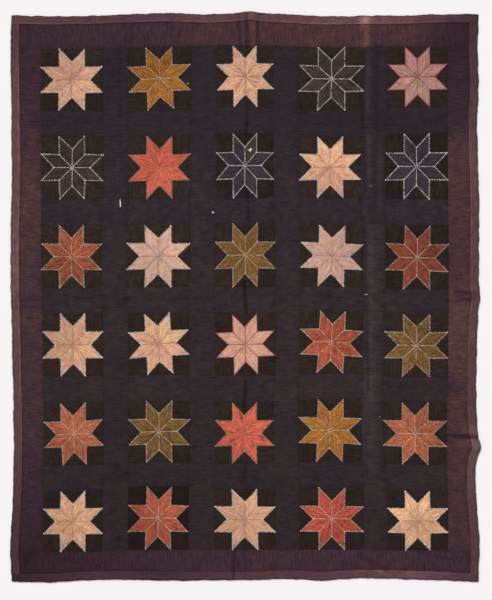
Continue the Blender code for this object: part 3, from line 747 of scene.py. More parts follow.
@dataclass
class Shell:
    """A closed cloth shape that grows patch by patch, on the plan's line numbers.

    The patches of one uncut cloth have no seams between them.
    """

    plan: Plan
    uncut: bool = False
    places: list[tuple[float, float]] = field(default_factory=list)
    fullness: list[float] = field(default_factory=list)
    faces: list[tuple[int, ...]] = field(default_factory=list)
    face_patch: list[int] = field(default_factory=list)
    rims: list[list[int]] = field(default_factory=list)
    patches: list[Patch] = field(default_factory=list)
    known: dict[tuple[int, int], int] = field(default_factory=dict)

    def point(self, across: float, down: float, fullness: float) -> int:
        """The number of the point at a place, new or shared with a neighbour."""
        key = (round(across * 1e5), round(down * 1e5))
        if key not in self.known:
            self.known[key] = len(self.places)
            self.places.append((across, down))
            self.fullness.append(fullness)
        return self.known[key]

    def add_faces(self, faces: list[tuple[int, ...]], rim: list[int], patch: Patch) -> None:
        """Adds a patch's faces and the points round its rim."""
        self.faces += faces
        self.face_patch += [len(self.patches)] * len(faces)
        self.rims.append(rim)
        self.patches.append(patch)

    def add_grid(self, rows: list[list[tuple[float, float, float]]], patch: Patch) -> None:
        """Adds a four-sided patch.

        Args:
            rows: Rows of points, each with its line numbers and fullness.
            patch: What it is cut from.
        """
        grid = [[self.point(*spot) for spot in row] for row in rows]
        faces = []
        for upper, lower in zip(grid, grid[1:]):
            faces += zip(upper, upper[1:], lower[1:], lower)
        sides = [row[-1] for row in grid[1:]] + grid[-1][-2::-1]
        self.add_faces(faces, grid[0] + sides + [row[0] for row in grid[-2:0:-1]], patch)

    def add_triangle(self, rows: list[list[tuple[float, float, float]]], patch: Patch) -> None:
        """Adds a three-sided patch.

        Args:
            rows: Rows of points from its tip, each one point longer than the last.
            patch: What it is cut from.
        """
        grid = [[self.point(*spot) for spot in row] for row in rows]
        faces = []
        for upper, lower in zip(grid, grid[1:]):
            faces += zip(upper, lower, lower[1:])
            faces += zip(upper, lower[1:], upper[1:])
        sides = grid[-1][1:] + [row[-1] for row in grid[-2:0:-1]]
        self.add_faces(faces, [row[0] for row in grid] + sides, patch)

    def open_edges(self) -> list[tuple[int, int]]:
        """The edges of the top that have cloth on one side only."""
        seen: dict[tuple[int, int], int] = {}
        for face in self.faces:
            for a, b in zip(face, face[1:] + face[:1]):
                key = (a, b) if a < b else (b, a)
                seen[key] = seen.get(key, 0) + 1
        return [edge for edge, count in seen.items() if count == 1]

    def tighten(self, across: tuple[float, float], down: tuple[float, float]) -> None:
        """Keeps a hair's gap between the shell and its neighbours.

        Args:
            across: The first and last line across that the shell reaches.
            down: The first and last line down that it reaches.
        """
        places = np.array(self.places)
        first, last = np.array((across, down)).T
        kept = np.minimum(np.maximum(places, first + SEAM_HAIR), last - SEAM_HAIR)
        self.places = [tuple(spot) for spot in kept.tolist()]

    def close(
        self,
        name: str,
        cloths: list[bpy.types.Material],
        height: Callable[[Spots], np.ndarray],
        fade: Callable[[Spots], np.ndarray],
    ) -> bpy.types.Object:
        """Gives the shell its heights, walls and underside, and makes it an object.

        Args:
            name: The object's name.
            cloths: Its materials, in the order that the patches number them.
            height: Gives the top's height at points of the cloth.
            fade: Gives how faded the cloth is at them, or darkened below 0, the folds' painted
                shade and highlights included.

        Returns:
            The finished object.
        """
        across, down = (np.array(side) for side in zip(*self.places))
        spots = Spots(across, down, *self.plan.place(across, down), np.array(self.fullness))
        points = np.column_stack((spots.east, spots.north, height(spots)))
        count = len(self.places)
        rim_points = sorted({v for rim in self.rims for v in rim})
        low = {number: count + i for i, number in enumerate(rim_points)}
        under = points[rim_points] * (1.0, 1.0, 0.0)
        walls = [(a, b, low[b], low[a]) for a, b in self.open_edges()]
        undersides = [tuple(low[v] for v in rim) for rim in self.rims]
        mesh = bpy.data.meshes.new(name)
        mesh.from_pydata(np.vstack((points, under)), [], self.faces + undersides + walls)
        spread = np.concatenate((np.arange(count), rim_points))
        for label, values in (("fullness", spots.fullness), ("fade", fade(spots))):
            write_layer(mesh, label, "FLOAT", "POINT", values[spread].astype(np.float32))
        owners = self.face_patch + list(range(len(self.rims))) + [0] * len(walls)
        self.dress(mesh, np.array(owners), cloths)
        self.mark_seams(mesh, len(walls))
        return put_in_scene(name, mesh)

    def dress(
        self, mesh: bpy.types.Mesh, owner: np.ndarray, cloths: list[bpy.types.Material]
    ) -> None:
        """Gives each face its patch's material, age, tone and thread direction."""
        for cloth in cloths:
            mesh.materials.append(cloth)
        materials = np.array([patch.material for patch in self.patches])
        mesh.polygons.foreach_set("material_index", materials[owner].astype(np.int32))
        shade_smooth(mesh)
        totals = np.empty(len(mesh.polygons), dtype=np.int32)
        mesh.polygons.foreach_get("loop_total", totals)
        corner_owner = np.repeat(owner, totals)
        corner_vertex = np.empty(len(mesh.loops), dtype=np.int32)
        mesh.loops.foreach_get("vertex_index", corner_vertex)
        flat = np.empty(len(mesh.vertices) * 3, dtype=np.float32)
        mesh.vertices.foreach_get("co", flat)
        east, north, _ = flat.reshape(-1, 3)[corner_vertex].T
        headings = np.array([patch.heading for patch in self.patches])[corner_owner]
        for label in ("age", "tone"):
            values = np.array([getattr(patch, label) for patch in self.patches], dtype=np.float32)
            write_layer(mesh, label, "FLOAT", "CORNER", values[corner_owner])
        turned_u = east * np.cos(headings) + north * np.sin(headings)
        turned_v = north * np.cos(headings) - east * np.sin(headings)
        grain = mesh.uv_layers.new(name="grain")
        grain.data.foreach_set("uv", np.column_stack((turned_u, turned_v)).ravel())
        write_layer(mesh, "patch", "INT", "FACE", owner.astype(np.int32))

    def mark_seams(self, mesh: bpy.types.Mesh, walls: int) -> None:
        """Turns all faces outwards and keeps the seams between patches crisp."""
        bm = bmesh.new()
        bm.from_mesh(mesh)
        bmesh.ops.recalc_face_normals(bm, faces=bm.faces)
        number = bm.faces.layers.int["patch"]
        bm.faces.ensure_lookup_table()
        for face in bm.faces[len(bm.faces) - walls :]:
            face[number] = -1
        for edge in bm.edges:
            sides = {face[number] for face in edge.link_faces}
            edge.smooth = len(sides) == 1 or (self.uncut and -1 not in sides)
        bm.to_mesh(mesh)
        bm.free()
        mesh.attributes.remove(mesh.attributes["patch"])


def rise(*distances: float) -> float:
    """How full a patch is at these distances from the seams around it."""
    full = 1.0
    for distance in distances:
        full *= 1.0 - math.exp(-max(distance, 0.0) / Plan.puff_reach)
    return full


def rise_between(s: float, t: float, wide: float, tall: float) -> float:
    """How full a four-sided patch is at these shares of its width and length."""
    return rise(s * wide, (1 - s) * wide, t * tall, (1 - t) * tall)


@dataclass
class StarBlock:
    """The cut pieces of one block: the star's diamonds, the corner squares, the side triangles."""

    block: Block
    cells: int = 16
    touch: float = 0.994
    slack: float = 0.0016
    stray: float = 0.016
    open_middle: float = 0.075
    own_age: float = -0.8
    star_tones: float = 0.045
    ground_tones: float = 0.05

    def star_points(self, share: float) -> tuple[list[np.ndarray], list[np.ndarray]]:
        """The star's notches and tips, anticlockwise from the east, in half block widths.

        Args:
            share: How much of its full size the star has.

        Returns:
            The eight notches and the eight tips.
        """
        turn = math.radians(self.block.turn)
        reach = self.touch * share / (math.cos(turn) + TIP * abs(math.sin(turn)))
        hand = random.Random(10 * self.block.row + self.block.col)

        def ray(radius: float, angle: float) -> np.ndarray:
            angle += turn + hand.uniform(-1.0, 1.0) * self.stray
            radius *= reach * (1.0 - hand.uniform(0.0, 1.6) * self.stray)
            return radius * np.array((math.cos(angle), math.sin(angle)))

        notches = [ray(NOTCH, k * EIGHTH) for k in range(8)]
        tips = [ray(math.hypot(1.0, TIP), (k + 0.5) * EIGHTH) for k in range(8)]
        return notches, tips

    def spot(self, uv: np.ndarray, fullness: float) -> tuple[float, float, float]:
        """Line numbers of a point given in half block widths from the block's middle."""
        across = 2 * self.block.col + 0.5 + uv[0] / 2
        down = 2 * self.block.row + 0.5 - uv[1] / 2
        return float(across), float(down), fullness

    def edge_spot(self, k: int, tips: list[np.ndarray]) -> np.ndarray:
        """Where the block's edge is met straight out from a tip."""
        u, v = tips[k % 8]
        side = ((k + 1) // 2) % 4
        return np.array(((1.0, v), (u, 1.0), (-1.0, v), (u, -1.0))[side])

    def ray_out(self, k: int, tip: int) -> list[np.ndarray]:
        """Points from a notch along the star's outline to a tip, and on to the block's edge."""
        notches, tips = self.star_points(1.0)
        start, point = notches[k % 8], tips[tip % 8]
        steps = [start + (point - start) * step for step in even_steps(self.cells - 1)]
        return steps + [self.edge_spot(tip, tips)]

    def edge_run(self, north: bool) -> list[float]:
        """Across values of the points along the block's head or foot edge, from the left."""
        _, tips = self.star_points(1.0)
        first, second = (2, 1) if north else (5, 6)
        corners = (-1.0, tips[first][0], tips[second][0], 1.0)
        run: list[float] = []
        for start, end in zip(corners, corners[1:]):
            run += [start + (end - start) * step for step in even_steps(self.cells)[:-1]]
        run.append(1.0)
        return [2 * self.block.col + 0.5 + u / 2 for u in run]

    def cut_diamonds(self, shell: Shell, chance: random.Random) -> None:
        """Adds the eight diamonds of the star."""
        notches, _ = self.star_points(1.0 - self.slack)
        side = Plan.block_width / 2 * NOTCH * math.sin(EIGHTH)
        steps = even_steps(self.cells)
        for k in range(8):
            a, b = notches[k], notches[(k + 1) % 8]
            rows = [
                [self.spot(a * s + b * t, rise_between(s, t, side, side)) for s in steps]
                for t in steps
            ]
            heading = (k + 0.5) * EIGHTH + math.radians(self.block.turn)
            age = chance.uniform(-1.0, 1.0)
            if self.block.aged_side is not None:
                side_on = math.cos(heading - math.radians(self.block.aged_side))
                age = 0.5 * age + self.block.aged_by * (side_on + 1.0) + self.own_age
            tone = self.block.light_by * math.cos(heading - math.radians(self.block.light_side))
            tone += chance.uniform(-self.star_tones, self.star_tones)
            shell.add_grid(rows, Patch(heading, age, int(k == self.block.odd_diamond), tone))

    def cut_corner(self, shell: Shell, k: int, patch: Patch) -> None:
        """Adds the square between two tips at a corner of the block."""
        first, second = self.ray_out(k, k - 1), self.ray_out(k, k)
        start, along_s, along_t = first[0], first[-1], second[-1]
        corner = np.sign(start)
        side = Plan.block_width / 2 * (1.0 - TIP)
        steps = even_steps(self.cells)
        rows = []
        for t, near_s in zip(steps, second):
            row = []
            for s, near_t in zip(steps, first):
                far_s = along_t + (corner - along_t) * s
                far_t = along_s + (corner - along_s) * t
                spot = (1 - t) * near_t + t * far_s + (1 - s) * near_s + s * far_t
                spot = spot - (1 - s) * (1 - t) * start - s * (1 - t) * along_s
                spot = spot - (1 - s) * t * along_t - s * t * corner
                row.append(self.spot(spot, rise_between(s, t, side, side)))
            rows.append(row)
        shell.add_grid(rows, patch)

    def cut_side(self, shell: Shell, k: int, patch: Patch) -> None:
        """Adds the triangle between two tips at a side of the block."""
        first, second = self.ray_out(k, k - 1), self.ray_out(k, k)
        sloped = Plan.block_width * TIP * math.sin(EIGHTH)
        height = Plan.block_width / 2 * (1.0 - NOTCH)
        rows = []
        for i, reach in enumerate(even_steps(self.cells)):
            row = []
            for share in even_steps(i) if i else [0.0]:
                spot = first[i] + (second[i] - first[i]) * share
                to_sides = (reach * share * sloped, reach * (1 - share) * sloped)
                row.append(self.spot(spot, rise((1 - reach) * height, *to_sides)))
            rows.append(row)
        shell.add_triangle(rows, patch)

    def cut_ground(self, shell: Shell, chance: random.Random) -> None:
        """Adds the four corner squares and the four side triangles."""
        for k in range(8):
            heading = chance.choice((0.0, math.pi / 2))
            age = chance.uniform(-1.0, 1.0)
            tone = self.block.ground + chance.uniform(-self.ground_tones, self.ground_tones)
            if k % 2:
                self.cut_corner(shell, k, Patch(heading, age, 0, tone))
            else:
                self.cut_side(shell, k, Patch(heading, age, 1, tone))

    def seam_lines(self) -> tuple[list[list[tuple[float, float]]], ...]:
        """The stitched seams, as lists of line numbers, one for each run of stitches.

        Returns:
            The eight seams from the middle to the notches, and the sixteen of the outline.
        """
        notches, tips = self.star_points(1.0 - self.slack / 2)

        def run(start: np.ndarray, end: np.ndarray) -> list[tuple[float, float]]:
            steps = even_steps(self.cells)
            return [self.spot(start + (end - start) * step, 0.0)[:2] for step in steps]

        inner = [run(notch * self.open_middle, notch) for notch in notches]
        outline = []
        for k in range(8):
            outline += [run(notches[k], tips[k]), run(tips[k], notches[(k + 1) % 8])]
        return inner, outline


@dataclass
class Wiring:
    """Adds and joins nodes in one tree."""

    tree: bpy.types.NodeTree

    def feed(self, socket: bpy.types.NodeSocket, value: object) -> None:
        """Links a socket to another, or sets it to a plain value."""
        if isinstance(value, bpy.types.NodeSocket):
            self.tree.links.new(value, socket)
        else:
            socket.default_value = value

    def add(
        self, kind: str, feeds: dict[str | int, object] | None = None, **settings: object
    ) -> bpy.types.Node:
        """Adds a node, sets its properties and feeds its inputs.

        Args:
            kind: The node's type.
            feeds: A socket or a plain value for each input, by its name or number.
            **settings: A value for each property.

        Returns:
            The node.
        """
        node = self.tree.nodes.new(kind)
        for name, value in settings.items():
            setattr(node, name, value)
        for name, value in (feeds or {}).items():
            self.feed(node.inputs[name], value)
        return node

    def math(
        self, operation: str, *values: object, clamp: bool = False
    ) -> bpy.types.NodeSocket:
        """Adds a Math node in a shader or geometry tree and returns its result."""
        feeds = dict(enumerate(values))
        return self.add("ShaderNodeMath", feeds, operation=operation, use_clamp=clamp).outputs[0]

    def centred(self, noisy: bpy.types.NodeSocket) -> bpy.types.NodeSocket:
        """Shifts a noise's value so that it lies about 0."""
        return self.math("SUBTRACT", noisy, 0.5)

    def mix(self, share: object, first: object, second: object) -> bpy.types.NodeSocket:
        """Mixes two colours and returns the result."""
        feeds = {0: share, 6: first, 7: second}
        return self.add("ShaderNodeMix", feeds, data_type="RGBA").outputs[2]

    def scale_colour(self, colour: object, value: object) -> bpy.types.NodeSocket:
        """Multiplies a colour by a number and returns the result."""
        feeds = {0: colour, "Scale": value}
        return self.add("ShaderNodeVectorMath", feeds, operation="SCALE").outputs[0]

    def noise(
        self,
        where: bpy.types.NodeSocket,
        scale: float | tuple[float, float, float],
        detail: float,
        distortion: float = 0.0,
    ) -> bpy.types.NodeSocket:
        """Adds smooth noise, scaled evenly or stretched on each axis."""
        stretch = scale if isinstance(scale, tuple) else (scale, scale, scale)
        mapping = self.add("ShaderNodeMapping", {"Scale": stretch, "Vector": where})
        feeds = {"Scale": 1.0, "Detail": detail, "Distortion": distortion}
        feeds["Vector"] = mapping.outputs["Vector"]
        return self.add("ShaderNodeTexNoise", feeds).outputs[0]

    def wave(self, where: bpy.types.NodeSocket, axis: str, scale: float) -> bpy.types.NodeSocket:
        """Adds the even bands of threads that run one way."""
        feeds = {"Vector": where, "Scale": scale, "Distortion": 1.0, "Detail": 1.0}
        return self.add("ShaderNodeTexWave", feeds, bands_direction=axis).outputs["Fac"]

    def emboss(
        self, shader: bpy.types.Node, height: bpy.types.NodeSocket, strength: float, depth: float
    ) -> None:
        """Raises the surface of a shader by a height, without changing the mesh."""
        feeds = {"Strength": strength, "Distance": depth, "Height": height}
        bump = self.add("ShaderNodeBump", feeds)
        self.feed(shader.inputs["Normal"], bump.outputs["Normal"])


def matt_finish(
    name: str, roughness: float, shine: float
) -> tuple[bpy.types.Material, bpy.types.Node]:
    """Makes a plain material and hands back its shader too."""
    material = bpy.data.materials.new(name)
    material.use_nodes = True
    shader = material.node_tree.nodes["Principled BSDF"]
    shader.inputs["Roughness"].default_value = roughness
    shader.inputs["Specular IOR Level"].default_value = shine
    return material, shader


@dataclass
class Dressmaker:
    """Makes the quilt's materials: cloths, threads and lint."""

    group: bpy.types.NodeTree = field(init=False)
    made: dict[str, bpy.types.Material] = field(default_factory=dict)

    def __post_init__(self) -> None:
        """Builds the node group that all the cloths share."""
        self.group = self.cloth_group()

    def cloth_group(self) -> bpy.types.NodeTree:
        """Builds the aged cotton effect, with painted shade in the seams, along the crease lines
        and in the folds' troughs, and painted highlights on ridges.

        Returns:
            A group that puts out the cloth's colour and the height of its weave and crinkles.
        """
        tree = bpy.data.node_groups.new("aged_cotton_and_shade", "ShaderNodeTree")
        sockets = tree.interface
        for name in ("Colour", "Aged", "Faded"):
            sockets.new_socket(name, in_out="INPUT", socket_type="NodeSocketColor")
        for name in ("Drift", "Slub", "Crumple"):
            sockets.new_socket(name, in_out="INPUT", socket_type="NodeSocketFloat")
        sockets.new_socket("Colour", in_out="OUTPUT", socket_type="NodeSocketColor")
        sockets.new_socket("Height", in_out="OUTPUT", socket_type="NodeSocketFloat")
        wire = Wiring(tree)
        given = wire.add("NodeGroupInput").outputs
        put_out = wire.add("NodeGroupOutput")
        where = wire.add("ShaderNodeTexCoord").outputs["Object"]
        grain = wire.add("ShaderNodeUVMap", uv_map="grain").outputs["UV"]
        fullness, fade, age, tone = (
            wire.add("ShaderNodeAttribute", attribute_name=name).outputs["Fac"]
            for name in ("fullness", "fade", "age", "tone")
        )
        cloudy = wire.noise(where, 7.0, detail=3.0)
        blotchy = wire.noise(where, 34.0, detail=3.0)
        mottled = wire.noise(where, 95.0, detail=2.0)
        streaky = wire.noise(grain, (24.0, 190.0, 1.0), detail=2.0)
        slubby = wire.noise(grain, (190.0, 60.0, 1.0), detail=2.0)
        specks = wire.noise(where, 260.0, detail=2.0)
        crumpled = wire.noise(grain, (15.0, 112.0, 1.0), detail=1.0, distortion=0.3)
        patchy = wire.noise(where, 26.0, detail=1.0)
        warp = wire.wave(grain, "X", 150.0)
        weft = wire.wave(grain, "Y", 150.0)

        blotches = wire.centred(blotchy)
        drift = wire.math("MULTIPLY_ADD", wire.centred(cloudy), 3.0, 0.4)
        drift = wire.math("MULTIPLY_ADD", blotches, 3.4, drift)
        drift = wire.math("MULTIPLY_ADD", age, 0.5, drift)
        drift = wire.math("MULTIPLY", drift, given["Drift"], clamp=True)
        aged = wire.mix(drift, given["Colour"], given["Aged"])

        # Made blotchy, the per-point value mixes the colour towards its faded one above 0, with
        # real fading and the painted highlights on ridges, and darkens it below 0, with darker
        # stretches and the painted shade in fold troughs and on the binding's rolled edge
        blotched_wear_and_shade = wire.math("MULTIPLY_ADD", blotches, 0.12, fade)
        uneven = wire.math("MULTIPLY_ADD", blotches, 1.6, 1.0)
        lighter = wire.math("MULTIPLY", wire.math("MAXIMUM", blotched_wear_and_shade, 0.0), uneven, clamp=True)
        faded = wire.mix(lighter, aged, given["Faded"])
        keep = wire.math("ADD", wire.math("MINIMUM", blotched_wear_and_shade, 0.0), 1.0, clamp=True)

        slubs = wire.math("MULTIPLY", wire.centred(streaky), 9.0)
        for grade, weight in ((slubby, 2.0), (specks, 9.0), (mottled, 2.0)):
            slubs = wire.math("MULTIPLY_ADD", wire.centred(grade), weight, slubs)
        value = wire.math("MULTIPLY_ADD", slubs, given["Slub"], 1.0)
        # Painted shade along crease lines: the creases darken the colour as well as dent the bump
        line = wire.math("ABSOLUTE", wire.centred(crumpled))
        line = wire.math("MULTIPLY_ADD", line, -13.0, 1.0, clamp=True)
        here = wire.math("MULTIPLY_ADD", patchy, 4.0, -1.6, clamp=True)
        creased = wire.math("MULTIPLY", wire.math("MULTIPLY", line, here), given["Crumple"])
        crease_shade = wire.math("SUBTRACT", 1.0, creased)
        # Painted shade in the seams: the colour is darker where the patch is least full
        seam_shade = wire.math("MULTIPLY_ADD", wire.math("POWER", fullness, 0.5), 0.16, 0.86)
        for factor in (crease_shade, seam_shade, keep, wire.math("ADD", tone, 1.0)):
            value = wire.math("MULTIPLY", value, factor)
        wire.feed(put_out.inputs["Colour"], wire.scale_colour(faded, value))

        height = wire.math("MULTIPLY", wire.math("MULTIPLY", warp, weft), 0.5)
        creases = wire.math("MULTIPLY_ADD", slubby, 0.5, streaky)
        for form, raised in ((creases, 1.4), (blotchy, 1.2), (crumpled, 3.0), (creased, -2.0)):
            height = wire.math("MULTIPLY_ADD", form, raised, height)
        wire.feed(put_out.inputs["Height"], height)
        return tree

    def cloth(
        self, name: str, shade: float = 0.0, creased: float = 0.0
    ) -> bpy.types.Material:
        """Makes a cotton, or hands back the one made before.

        Args:
            name: The cloth's name in the table.
            shade: How much lighter it is than the table says.
            creased: How much more creased it is, both in the bump and in the painted shade along
                its crease lines.

        Returns:
            The material.
        """
        label = f"{name}_{round(shade * 100):+d}" if shade else name
        label += "_creased" if creased else ""
        if label in self.made:
            return self.made[label]
        cotton = COTTONS[name]
        material, shader = matt_finish(label, roughness=0.92, shine=0.06)
        wire = Wiring(material.node_tree)
        feeds = {
            "Colour": linear(cotton.colour, shade),
            "Aged": linear(cotton.aged, shade),
            "Faded": linear(FADED.get(name, FADED_OTHER)),
            "Drift": cotton.drift,
            "Slub": cotton.slub,
            "Crumple": cotton.crumple + creased,
        }
        effect = wire.add("ShaderNodeGroup", feeds, node_tree=self.group)
        wire.feed(shader.inputs["Base Color"], effect.outputs["Colour"])
        wire.emboss(shader, effect.outputs["Height"], strength=0.55, depth=0.0005)
        self.made[label] = material
        return material

    def strand(self, name: str, colour: str) -> bpy.types.Material:
        """Makes the finish of a thread or tuft.

        Args:
            name: The material's name.
            colour: Its sRGB hex colour.

        Returns:
            The material.
        """
        material, shader = matt_finish(name, roughness=0.8, shine=0.2)
        wire = Wiring(material.node_tree)
        where = wire.add("ShaderNodeTexCoord").outputs["Object"]
        soiled = wire.noise(where, 110.0, detail=3.0)
        twist = wire.noise(where, 1800.0, detail=1.0)
        value = wire.math("MINIMUM", wire.math("MULTIPLY_ADD", soiled, 4.0, -1.0), 1.12)
        tint = wire.add("ShaderNodeRGB").outputs[0]
        tint.default_value = linear(colour)
        wire.feed(shader.inputs["Base Color"], wire.scale_colour(tint, value))
        wire.emboss(shader, twist, strength=0.6, depth=0.0002)
        return material


@dataclass
class QuiltPart:
    """What every cloth of the quilt needs: the plan, the materials and a source of chance."""

    plan: Plan
    maker: Dressmaker
    chance: random.Random

    def plain_top(self, spots: Spots) -> np.ndarray:
        """Height of cloth that lies between its seams."""
        return self.plan.top(spots.east, spots.north, spots.fullness)

    def plain_wear(self, spots: Spots) -> np.ndarray:
        """Wear of the field's dark cloths, which changes from row to row, with the folds' painted
        shade and highlights.
        """
        return smooth_curve(FIELD_FADE, by_block(spots.down)) + self.plan.worn(spots)

    def hand_over(
        self, piece: bpy.types.Object, node: str, slot: str, flat: tuple[float, float]
    ) -> None:
        """Puts a finished cloth in its node's place.

        Args:
            piece: The cloth.
            node: The node that it stands for.
            slot: The name of a material slot; not used.
            flat: Width and length that it was cut to.
        """
        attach(piece, "root")
        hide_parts(node)
        log.info("%s: %d faces, cut %.3f x %.3f m", piece.name, len(piece.data.polygons), *flat)


@dataclass
class StarMaker(QuiltPart):
    """The thirty stars, each of eight diamonds sewn together."""

    diamond_share: float = 8.0 * NOTCH**2 * math.sin(EIGHTH) / 4.0
    crumple: float = 1.7
    worn_reach: float = 0.22

    def crumpled_top(self, spots: Spots) -> np.ndarray:
        """Height of a star's thin, crumpled cloth."""
        return self.plan.top(spots.east, spots.north, spots.fullness, self.crumple)

    def build(self, block: Block) -> bpy.types.Object:
        """Makes one star."""
        cloths = [self.maker.cloth(block.cloth, block.shade, block.creased)]
        if block.odd_cloth:
            cloths.append(self.maker.cloth(block.odd_cloth))
        shell = Shell(self.plan)
        StarBlock(block).cut_diamonds(shell, self.chance)
        name = f"star_{block.row}_{block.col}"

        # Wear of the star's middle, with the folds' painted shade and highlights
        def wear(spots: Spots) -> np.ndarray:
            across, down = spots.across - 2 * block.col - 0.5, spots.down - 2 * block.row - 0.5
            from_middle = np.hypot(across, down)
            return block.worn * hump(from_middle, self.worn_reach) + self.plan.worn(spots)

        piece = shell.close(f"{name}_cloth", cloths, self.crumpled_top, wear)
        flat = (block.wide * MM, block.tall * MM)
        self.hand_over(piece, name, block.cloth, flat)
        return piece


@dataclass
class ColumnMaker(QuiltPart):
    """The pieced strips: block grounds round the stars, and the short sashes between them."""

    sash_cells: int = 20
    age_spread: float = 0.3

    def add_short_sash(self, shell: Shell, upper: Block, lower: Block) -> None:
        """Adds the short sash between two blocks of a column."""
        above = StarBlock(upper).edge_run(north=False)
        below = StarBlock(lower).edge_run(north=True)
        tall = Plan.pitch_down - Plan.block_width
        rows = []
        for t in even_steps(self.sash_cells):
            row = []
            for a, b in zip(above, below):
                across = (1 - t) * a + t * b
                full = rise_between(across - 2 * upper.col, t, Plan.block_width, tall)
                row.append((across, 2 * upper.row + 1 + t, full))
            rows.append(row)
        age = SASH_AGE[upper.row - 1] + self.chance.uniform(-self.age_spread, self.age_spread)
        shell.add_grid(rows, Patch(0.0, age, 2))

    def build(self, col: int) -> bpy.types.Object:
        """Makes the pieced strip of one column."""
        shell = Shell(self.plan)
        blocks = [self.plan.block(row, col) for row in range(1, ROWS + 1)]
        for block in blocks:
            StarBlock(block).cut_ground(shell, self.chance)
        for upper, lower in zip(blocks, blocks[1:]):
            self.add_short_sash(shell, upper, lower)
        shell.tighten((2 * col, 2 * col + 1), (2, LAST_DOWN - 2))
        cloths = [self.maker.cloth(name) for name in ("ground", "ground_side", "sash")]
        name = f"column_{col}"
        piece = shell.close(f"{name}_cloth", cloths, self.plain_top, self.plain_wear)
        flat = (self.plan.block_width, self.plan.field_length())
        self.hand_over(piece, name, "ground", flat)
        return piece


@dataclass
class StripMaker(QuiltPart):
    """The long plain strips: sashes and borders."""

    cell: float = 0.0046

    def lay(
        self,
        shell: Shell,
        across: tuple[int, int],
        down: tuple[int, int],
        size: tuple[float, float],
        heading: float,
        ages: Sequence[float] = (0.0,),
    ) -> None:
        """Adds one straight strip between four lines, in a run of patches.

        Args:
            shell: What it is added to.
            across: Its first and last line across.
            down: Its first and last line down.
            size: Its width and length, east and north.
            heading: The direction of its wrinkles.
            ages: How aged it is at each row of blocks, or one age for all.
        """
        patches = (across[1] - across[0], down[1] - down[0])
        per_across, per_down = (
            even_steps(max(2, round(length / count / self.cell)))
            for length, count in zip(size, patches)
        )
        for left in range(*across):
            for upper in range(*down):
                rows = []
                for d in (upper + step for step in per_down):
                    t = (d - down[0]) / patches[1]
                    row = []
                    for a in (left + step for step in per_across):
                        row.append((a, d, rise_between((a - across[0]) / patches[0], t, *size)))
                    rows.append(row)
                shell.add_grid(rows, Patch(heading, ages[min(len(ages), upper // 2) - 1]))
        shell.tighten(across, down)

    def build_sash(self, number: int) -> bpy.types.Object:
        """Makes a long sash."""
        shell = Shell(self.plan, uncut=True)
        first = 2 * number + 1
        flat = (self.plan.pitch_across - self.plan.block_width, self.plan.field_length())
        self.lay(shell, (first, first + 1), (2, LAST_DOWN - 2), flat, 0.0, SASH_AGE)
        name = f"long_sash_{number}"
        cloth = self.maker.cloth("sash")
        piece = shell.close(f"{name}_cloth", [cloth], self.plain_top, self.plain_wear)
        self.hand_over(piece, name, "sash", flat)
        return piece

    def edge_wear(
        self, edge: Edge, table: dict[Edge, list[float]]
    ) -> Callable[[Spots], np.ndarray]:
        """Gives how worn a border or binding is, which changes along the quilt's edge, with the
        folds' painted shade and highlights.
        """

        def wear(spots: Spots) -> np.ndarray:
            along = spots.east if edge.level else spots.north
            return self.plan.along_edge(edge, table[edge], along) + self.plan.worn(spots)

        return wear

    def build_border(self, edge: Edge) -> bpy.types.Object:
        """Makes a border strip."""
        shell = Shell(self.plan, uncut=True)
        first = 1 if edge.near else edge.last - 2
        band = (first, first + 1)
        ends = (1, LAST_ACROSS - 1) if edge.level else (2, LAST_DOWN - 2)
        width, length = (
            abs(lines[start] - lines[end])
            for lines, (start, end) in (
                (self.plan.even_lines(down=edge.level), band),
                (self.plan.even_lines(down=not edge.level), ends),
            )
        )
        flat = (width, length)
        if edge.level:
            self.lay(shell, ends, band, (length, width), math.pi / 2)
        else:
            self.lay(shell, band, ends, flat, 0.0)
        name = f"border_{edge.value}"
        wear = self.edge_wear(edge, BORDER_FADE)
        piece = shell.close(f"{name}_cloth", [self.maker.cloth("border")], self.plain_top, wear)
        self.hand_over(piece, name, "border", flat)
        return piece


